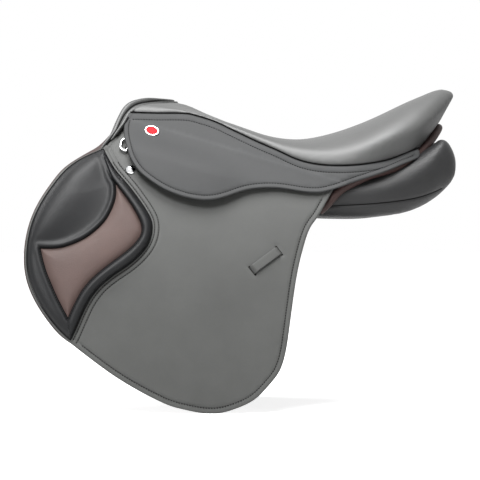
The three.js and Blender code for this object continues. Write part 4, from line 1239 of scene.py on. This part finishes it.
def inflate(obj):
    """Swells a closed mesh as cloth under pressure, each point by at most the cap."""
    before = positions(obj.data)
    mod = obj.modifiers.new("cloth", "CLOTH")
    mod.settings.use_pressure = True
    mod.settings.uniform_pressure_force = PRESSURE
    mod.settings.effector_weights.gravity = 0
    mod.point_cache.frame_start = 1
    mod.point_cache.frame_end = SWELL_FRAMES
    for frame_number in range(1, SWELL_FRAMES + 1):
        bpy.context.scene.frame_set(frame_number)
    after = positions(obj.evaluated_get(bpy.context.evaluated_depsgraph_get()).data)
    obj.modifiers.remove(mod)
    bpy.context.scene.frame_set(1)
    move = after - before
    far = np.linalg.norm(move, axis=1)[:, None] + 1e-9
    move *= np.minimum(1, SWELL_CAP * MM / far)
    obj.data.vertices.foreach_set("co", (before + move).ravel())
    obj.data.update()


def fill_panel(verts, faces):
    """Points in millimetres and faces of a panel once it is remeshed, swelled and smoothed."""
    obj = new_object("working", verts, faces, PANEL_LEATHER)
    remesh(obj, 5.0)
    inflate(obj)
    smooth_vertices(obj, 6)
    subdivide(obj)
    subdivide(obj)
    mesh = obj.data
    result = positions(mesh) / MM, [tuple(p.vertices) for p in mesh.polygons]
    bpy.data.objects.remove(obj)
    return result


GUSSET = [
    (100, 286), (122.9, 288.5), (165.2, 290.7), (207.5, 294.2), (249.8, 301.2), (278.1, 311.1),
    (285, 314.5),
]


def build_panels():
    """Flocked leather panels, blown up as cloth, with the gusset's seam drawn in along their outer side."""
    table = cubic(PANEL_STATIONS, np.linspace(0, 1, 130))
    keep = np.concatenate([[True], np.diff(table[:, 0]) > 0.05])
    n = 64
    sections = [panel_section(s, n, PANEL_SHRINK) for s in table[keep]]
    verts = list(np.concatenate(sections))
    faces = grid_faces(len(sections), n, wrap_cols=True)
    add_end_caps(verts, faces, n, sections[0].mean(0), sections[-1].mean(0))
    v, f = fill_panel(verts, outward_faces(verts, faces))
    gusset = curve(GUSSET, 2.0)
    away = distance(v[:, [0, 2]], gusset)
    outer = v[:, 1] < np.interp(v[:, 0], [100, 300], [-90, -62])
    v[:, 1] += 1.6 * bell(away, 2.2) * outer
    pair("panel_cushion", v, f, PANEL_LEATHER, "saddle", ["panel"])
    tree = BVHTree.FromPolygons(v.tolist(), f)
    seam = [tree.ray_cast(Vector((x, -400, z)), Vector((0, 1, 0)))[0] for x, z in gusset]
    seam = np.array([tuple(p) for p in seam if p is not None])
    v, f = cord(seam, 0.7)
    pair("panel_gusset_seam", v, f, DARK_SEAM_AND_SHADE, "saddle")


FACING = [
    (286, 0, 404.5), (282, 20, 398.5), (273, 40, 386), (262, 58, 373.5), (249.5, 73, 361), (230, 90, 349),
    (207, 104, 340), (184, 112, 333.5), (164, 117, 325.5), (143.5, 120, 315), (131, 121, 304.7),
    (118.4, 120, 290.2), (108.5, 118, 281.5),
]


def build_facing():
    """The brown roll under the cantle."""
    path = mirrored_curve(FACING[::-1], np.linspace(0, 1, 90))
    v, f = cord(whole_arch(path), 6.0, 18)
    single("cantle_facing", v, f, FACING_LEATHER, ["rear_facing"])


# ---- Metal and small parts -----------------------------------------------------------------------
STUD = (-159.6, 338.2)
BADGE = (-130, 390.4)
BADGE_AXES = (11.0, 8.6)
BADGE_SPIN = -0.1
DEE = dict(x=-164.6, z=372.2, straight=20, reach=9.4, wire=1.7, spin=0.22)
DEE_OUT = FLAP_THICK + 2 + DEE["wire"]


def lathe(profile, count, scale=(1, 1)):
    """A closed body of revolution about the local outward axis, with an oval plan when scale differs."""
    a = np.linspace(0, 2 * math.pi, count, endpoint=False)
    verts = []
    for r, h in profile:
        verts += [(r * scale[0] * math.cos(t), h, r * scale[1] * math.sin(t)) for t in a]
    faces = grid_faces(len(profile), count, wrap_cols=True)
    add_end_caps(verts, faces, count, (0, profile[0][1], 0), (0, profile[-1][1], 0))
    return np.array(verts), outward_faces(verts, faces)


def build_stud():
    dome = [(7.0, -0.6), (7.5, 0.1), (7.3, 0.9), (6.5, 1.9), (5.3, 3.0), (3.6, 3.9), (1.8, 4.4), (0.3, 4.55)]
    v, f = lathe(dome, 40)
    pair("flap_stud", place(v, *STUD, PAD_BASE), f, CHROME, "{side}_flap_group", ["flap_stud"])


def build_badge():
    """A plain oval with a raised rim, on the skirt's outer face."""
    x, z = (np.array([c]) for c in BADGE)
    level = float(skirt_face(x, z)[0])
    sx, sz = slopes(*BADGE)
    out = (level - width(*BADGE)) / math.sqrt(1 + sx**2 + sz**2)
    rim = [(0.97, -0.4), (1.0, 0.3), (0.98, 0.9), (0.93, 1.3), (0.85, 1.4), (0.79, 1.1), (0.77, 0.6)]
    v, f = lathe(rim, 48, BADGE_AXES)
    pair("badge", place(v, *BADGE, out, BADGE_SPIN), f, SILVER, "{side}_skirt_group", ["badge"])
    face = [(0.80, 0.2), (0.78, 0.95), (0.68, 1.2), (0.45, 1.4), (0.15, 1.5)]
    v, f = lathe(face, 48, BADGE_AXES)
    v = place(v, *BADGE, out, BADGE_SPIN)
    pair("badge_enamel", v, f, ENAMEL, "{side}_skirt_group")


def build_dee():
    """A straight bar and a bow, as one ring of wire."""
    half, reach = DEE["straight"] / 2, DEE["reach"]
    arm = [(0, 0, -half), (-4, 0, -half), (-reach + 1, 0, -half + 3), (-reach, 0, -half + 7)]
    bow = arm + [(x, 0, -z) for x, _, z in arm[::-1]]
    straight = [(0.8, 0, z) for z in np.linspace(half - 3, -half + 3, 11)]
    ring = np.concatenate([curve(bow, 1.0), [(0.6, 0, half - 1.2)], straight, [(0.6, 0, -half + 1.2)]])
    ring = resample(np.concatenate([ring, ring[:1]]), 90)[:-1]
    path = place(ring, DEE["x"], DEE["z"], DEE_OUT, DEE["spin"])
    outward = side_axes(DEE["x"], DEE["z"])[2]
    v, f = loop_tube(path, DEE["wire"], 14, outward)
    pair("dee_ring", v, f, CHROME, "{side}_dee", ["dee"])


def loop_tube(path, radius, sides, normal):
    """A closed ring of round wire."""
    verts = []
    for p, d in zip(path, unit(np.roll(path, -1, axis=0) - np.roll(path, 1, axis=0))):
        across = np.cross(d, normal)
        across /= np.linalg.norm(across)
        for a in np.linspace(0, 2 * math.pi, sides, endpoint=False):
            verts.append(p + radius * (math.cos(a) * normal + math.sin(a) * across))
    return verts, outward_faces(verts, grid_faces(len(path), sides, wrap_rows=True, wrap_cols=True))


def strap_solid(path, normals, half_width, thick):
    """A flat strap along a path, with rounded edges."""
    across = unit(np.cross(unit(np.gradient(path, axis=0)), normals))
    ring = []
    for a in np.linspace(0, 2 * math.pi, 28, endpoint=False):
        c, s = math.cos(a), math.sin(a)
        ring.append((math.copysign(abs(c) ** 0.25, c), math.copysign(abs(s) ** 0.6, s)))
    verts = []
    for p, n, w in zip(path, normals, across):
        verts += [p + w * (half_width * a) + n * (thick / 2 * b) for a, b in ring]
    faces = grid_faces(len(path), len(ring), wrap_cols=True)
    add_end_caps(verts, faces, len(ring), path[0], path[-1])
    return verts, outward_faces(verts, faces)


def build_staple():
    """The leather loop that holds the dee's straight bar; both its ends run back under the skirt."""
    r = DEE["wire"] + 0.75
    arc = [(-r * math.sin(a), -r * math.cos(a)) for a in np.linspace(0, math.pi, 13)]
    line = [(16, -r)] + [(c, -r) for c in np.linspace(13, 2, 6)] + arc
    line += [(2.2, r - 0.3), (4.5, r - 1.6), (7, -r + 1.9), (10, -r + 1.15), (16, -r + 1.15)]
    line = resample(curve(line, 0.5), 60)
    path = place(np.insert(line, 2, 0, axis=1), DEE["x"], DEE["z"], DEE_OUT, DEE["spin"])
    turn = unit(np.gradient(line, axis=0))
    _, along, outward, _ = side_axes(DEE["x"], DEE["z"], DEE["spin"])
    normals = turn[:, 1:] * along - turn[:, :1] * outward
    v, f = strap_solid(path, normals, 5.5, 1.0)
    pair("dee_tab", v, f, STRAP_LEATHER, "{side}_flap_group", ["dee_staple"])


def build_keeper():
    """A short strap that lies on the flap and dips through a slit at each end."""
    half = KEEPER["length"] / 2
    s = np.linspace(-half - 1.2, half + 1.2, 41)
    rise = 2.0 * smoothstep(0, 5, half - np.abs(s)) - 4.2 * smoothstep(0, 1.5, np.abs(s) - half + 0.6)
    local = np.stack([s, rise, np.zeros_like(s)], 1)
    path = place(local, KEEPER["x"], KEEPER["z"], FLAP_THICK + 0.9, KEEPER["spin"])
    up = side_axes(KEEPER["x"], KEEPER["z"])[2]
    v, f = strap_solid(path, np.tile(up, (len(path), 1)), KEEPER["width"] / 2, 2.2)
    pair("flap_keeper", v, f, FLAP_LEATHER, "{side}_flap_group", ["flap_keeper"])


# ---- Under the flap ------------------------------------------------------------------------------
SWEAT_LINE = curve([
    (-176, 406), (-188, 396), (-199, 383.5), (-209, 374), (-218, 368.5), (-237, 357), (-256.5, 342.3),
    (-271.4, 323.5), (-285, 302.5), (-296.4, 279.6), (-304, 254.6), (-307.6, 228.7), (-307.1, 202.3),
    (-301, 176.2), (-289.6, 152), (-275, 130), (-258, 109.6), (-238, 94.5), (-200, 74), (-150, 60),
    (-90, 56), (-40, 66), (0, 100), (35, 150), (50, 215), (57, 262), (62, 292),
], 3.0, smooth=2)


def flat_levels(inner, outer):
    """Outer and inner surfaces of a flat sheet with rounded edges, between two distances from the flap."""
    middle, thick = (inner + outer) / 2, outer - inner
    top = lambda x, z, d: side(x, z, middle + round_edge(d, thick))
    under = lambda x, z, d: side(x, z, middle - round_edge(d, thick))
    return top, under


def sewn_strap(name, outline, layer, body, node, holes=()):
    """A flat strap with rounded edges, and a row of stitches along its outline."""
    v, f = sheet(outline, *flat_levels(*layer), (0.15, 0.5, 1.1, 2.2), spacing=UNDER_GRID, holes=holes)
    pair(name, v, f, STRAP_LEATHER, body, [node])
    row = beside(turned(outline), STRAP_STITCH_IN, True)
    v, f = stitches(side(row[:, 0], row[:, 1], layer[1]), side_normals(row[:, 0], row[:, 1]))
    pair(f"{name}_stitching", v, f, THREAD, body)


def padded_block(name, front, rear, node):
    """A soft block sewn to the sweat flap, crowned between its edges."""
    outline = np.concatenate([curve(front, 2.5), curve(rear, 2.5)[::-1]])
    outline = resample(np.concatenate([outline, outline[:1]]), int(length_of(outline) / 2.5))[:-1]
    inner, outer = BLOCK_LAYER
    top = lambda x, z, d: side(x, z, inner + (outer - inner) * (1 - np.exp(-((d / 7) ** 0.9))))
    under = lambda x, z, d: side(x, z, inner)
    v, f = sheet(outline, top, under, (0.3, 0.9, 1.8, 3, 4.5, 6.5, 9), spacing=4)
    pair(name, v, f, PANEL_LEATHER, "saddle", [node])


# Layers under the flap, as distances out from its inner face.
SWEAT_LAYER = (-14, -11)
BLOCK_LAYER = (-10, -4.6)
STRAP_LAYER = (-8.5, -5)
GUARD_LAYER = (-3.9, -1.4)
UNDER_GRID = 7
STRAP_STITCH_IN = 3.2
STRAP_HOLES = dict(first=12, end=150, pitch=13, radius=2.3)  # heights above the start of the strap's point
STRAP_HALF = 13
STRAP_TOP = 338
STRAP_FOOT = 92
STRAP_X = {"front": -92, "middle": -58, "rear": -24}
GUARD_LINE = [
    (-112, 332), (-114, 300), (-108, 272), (-84, 258), (-58, 255), (-32, 258), (-10, 272), (-4, 300),
    (-4, 332),
]


def circle(x, z, radius):
    a = np.linspace(0, 2 * math.pi, 14, endpoint=False)
    return np.stack([x + radius * np.cos(a), z + radius * np.sin(a)], 1)


def build_girth_straps():
    """Three straps with a rounded point and a row of holes."""
    tip = STRAP_FOOT + 18
    for name, x in STRAP_X.items():
        a = np.linspace(0, math.pi, 15)
        foot = np.stack([x - STRAP_HALF * np.cos(a), tip - (tip - STRAP_FOOT) * np.sin(a)], 1)
        line = np.concatenate([[(x - STRAP_HALF, STRAP_TOP)], foot, [(x + STRAP_HALF, STRAP_TOP)]])
        line = np.concatenate([line, line[:1]])
        outline = resample(line, int(length_of(line) / 3))[:-1]
        heights = np.arange(tip + STRAP_HOLES["first"], tip + STRAP_HOLES["end"], STRAP_HOLES["pitch"])
        holes = [circle(x, z, STRAP_HOLES["radius"]) for z in heights]
        part = f"girth_strap_{name}"
        sewn_strap(part, outline, STRAP_LAYER, "{side}_" + name + "_girth_strap", part, holes)


def build_buckle_guard():
    line = curve(GUARD_LINE, 3)
    outline = resample(np.concatenate([line, line[:1]]), int(length_of(line) / 3) + 36)[:-1]
    sewn_strap("guard", outline, GUARD_LAYER, "{side}_buckle_guard", "buckle_guard")


def build_blocks():
    padded_block(
        "front_block",
        [(-238, 335), (-268, 300), (-284, 250), (-282, 205), (-262, 165), (-238, 142)],
        [(-208, 340), (-222, 302), (-232, 255), (-232, 215), (-226, 180), (-222, 152)],
        "knee_roll",
    )
    padded_block(
        "rear_block",
        [(4, 268), (12, 230), (14, 190), (8, 150), (-2, 122)],
        [(40, 266), (42, 230), (36, 186), (26, 142), (14, 112)],
        "thigh_block",
    )


def build_sweat_flap():
    top_edge = np.array([(62, 292), (-60, 336.4), (-150, 380.3), (-176, 406)], float)
    outline = closed(SWEAT_LINE, resample(top_edge, 60))
    v, f = sheet(outline, *flat_levels(*SWEAT_LAYER), (0.15, 0.6, 1.3, 3), spacing=UNDER_GRID)
    pair("under_flap", v, f, FACING_LEATHER, "saddle", ["sweat_flap"])


LINING_LINE = [(-60, 384), (0, 360), (60, 340), (110, 335), (160, 342), (210, 356), (250, 376)]
LINING_HALF = 26


def build_gullet_lining():
    """The leather that joins the two panels over the channel."""
    line = cubic([(x, 0, z) for x, z in LINING_LINE], np.linspace(0, 1, 200))
    outline = rounded_box(-60, 250, -LINING_HALF, LINING_HALF, 6, step=5)

    def level(sign):
        def at(x, y, d):
            z = np.interp(x, line[:, 0], line[:, 2]) - 6 * (y / LINING_HALF) ** 2
            return np.stack([x, y, z + sign * round_edge(d, 2.0)], -1)

        return at

    v, f = sheet(outline, level(1), level(-1), (0.2, 0.6, 1.2, 3), spacing=8)
    single("channel_lining", v, outward_faces(v, f), LINING_LEATHER, ["gullet_lining"])


for build in (
    build_skirt, skirt_stitching, build_seat_seam, build_flap, flap_stitching, build_knee_pad,
    build_pad_seams, build_knee_insert, build_seat, build_welts, build_panels, build_facing, build_stud,
    build_badge, build_dee, build_staple, build_keeper, build_sweat_flap, build_blocks, build_girth_straps,
    build_buckle_guard, build_gullet_lining,
):
    build()

CAD_FINISH = {
    "tree": MOULDING, "gullet_plate": STEEL, "gullet_screw": STEEL, "ground_web": WEBBING,
    "girth_web": WEBBING, "flap_head": FLAP_LEATHER, "stirrup_bar": STEEL, "bar_catch": STEEL,
}


def finish_cad_nodes():
    """The hard parts keep their own shape, with eased edges."""
    for name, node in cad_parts.items():
        key = name.removesuffix("_left").removesuffix("_right")
        if key in CAD_FINISH:
            node.data.materials.clear()
            node.data.materials.append(CAD_FINISH[key])
            bevel = node.modifiers.new("eased_edges", "BEVEL")
            bevel.width = 0.5 * MM
            bevel.segments = 2
            bevel.limit_method = "ANGLE"
            bevel.angle_limit = math.radians(40)


finish_cad_nodes()


# ---- Stage ---------------------------------------------------------------------------------------
def backdrop():
    """A pale floor. Seen by the camera it also glows faintly, so that it fades into the surround."""
    low = cad_box[0].z / MM - 0.2
    mat, add, link, coords = shader("studio_floor", (0.9, 0.9, 0.9), 0.95, spec=0.1)
    speck = add("ShaderNodeTexNoise", {"Vector": coords}, Scale=3.0)
    tone = blend_colours(add, speck.outputs["Fac"], (0.78,) * 3, (0.80,) * 3)
    link(tone.outputs["Color"], "Base Color")
    away = add("ShaderNodeVectorMath", {"Vector": coords}, operation="LENGTH")
    reaches = dict(From_Min=0.5, From_Max=2.0, To_Min=0.8, To_Max=1.0)
    glow = add("ShaderNodeMapRange", {"Value": away.outputs["Value"]}, **reaches)
    ray = add("ShaderNodeLightPath").outputs["Is Camera Ray"]
    seen = add("ShaderNodeMath", {0: glow.outputs["Result"], 1: ray}, operation="MULTIPLY")
    mat.node_tree.nodes["Principled BSDF"].inputs["Emission Color"].default_value = (1, 1, 1, 1)
    link(seen.outputs["Value"], "Emission Strength")
    reach = 40000
    verts = [(reach * a, reach * b, low) for a, b in ((-1, -1), (1, -1), (1, 1), (-1, 1))]
    new_object("floor", verts, [(0, 1, 2, 3)], mat)


def surround():
    """A white surround that lights the saddle only faintly, but shows white in its polish."""
    world = bpy.data.worlds.new("studio")
    world.use_nodes = True
    nodes, links = world.node_tree.nodes, world.node_tree.links
    path = nodes.new("ShaderNodeLightPath")
    strength = nodes.new("ShaderNodeMapRange")
    strength.inputs["To Min"].default_value = 1.0
    strength.inputs["To Max"].default_value = 0.18
    links.new(path.outputs["Is Diffuse Ray"], strength.inputs["Value"])
    links.new(strength.outputs["Result"], nodes["Background"].inputs["Strength"])
    nodes["Background"].inputs["Color"].default_value = (1, 1, 1, 1)
    bpy.context.scene.world = world


LIGHTS = {  # place in metres, size in metres, power in watts
    "overhead": ((-0.2, -0.8, 3.0), 1.5, 130),
    "front": ((-0.9, -2.6, 2.9), 1.2, 112),
    "back_left": ((-2.4, 2.2, 1.8), 1.5, 40),
}
LIT_POINT = (0, 0, 0.25)
CAMERA_AT = (-0.004, -3.5, 0.2406)
CAMERA_LENS = 179.5


def soft_light(name, at, size, power):
    """A square lamp that faces the saddle."""
    light = bpy.data.lights.new(name, "AREA")
    light.size = size
    light.energy = power
    obj = bpy.data.objects.new(name, light)
    obj.location = at
    obj.rotation_euler = (Vector(LIT_POINT) - Vector(at)).to_track_quat("-Z", "Y").to_euler()
    bpy.context.scene.collection.objects.link(obj)


def stage():
    backdrop()
    surround()
    for name, (at, size, power) in LIGHTS.items():
        soft_light(name, at, size, power)
    camera = bpy.data.objects.new("camera", bpy.data.cameras.new("camera"))
    camera.location = CAMERA_AT
    camera.rotation_euler = (math.radians(90), 0, 0)
    camera.data.lens = CAMERA_LENS
    bpy.context.scene.collection.objects.link(camera)
    bpy.context.scene.camera = camera
    bpy.context.scene.view_settings.view_transform = "Standard"


stage()
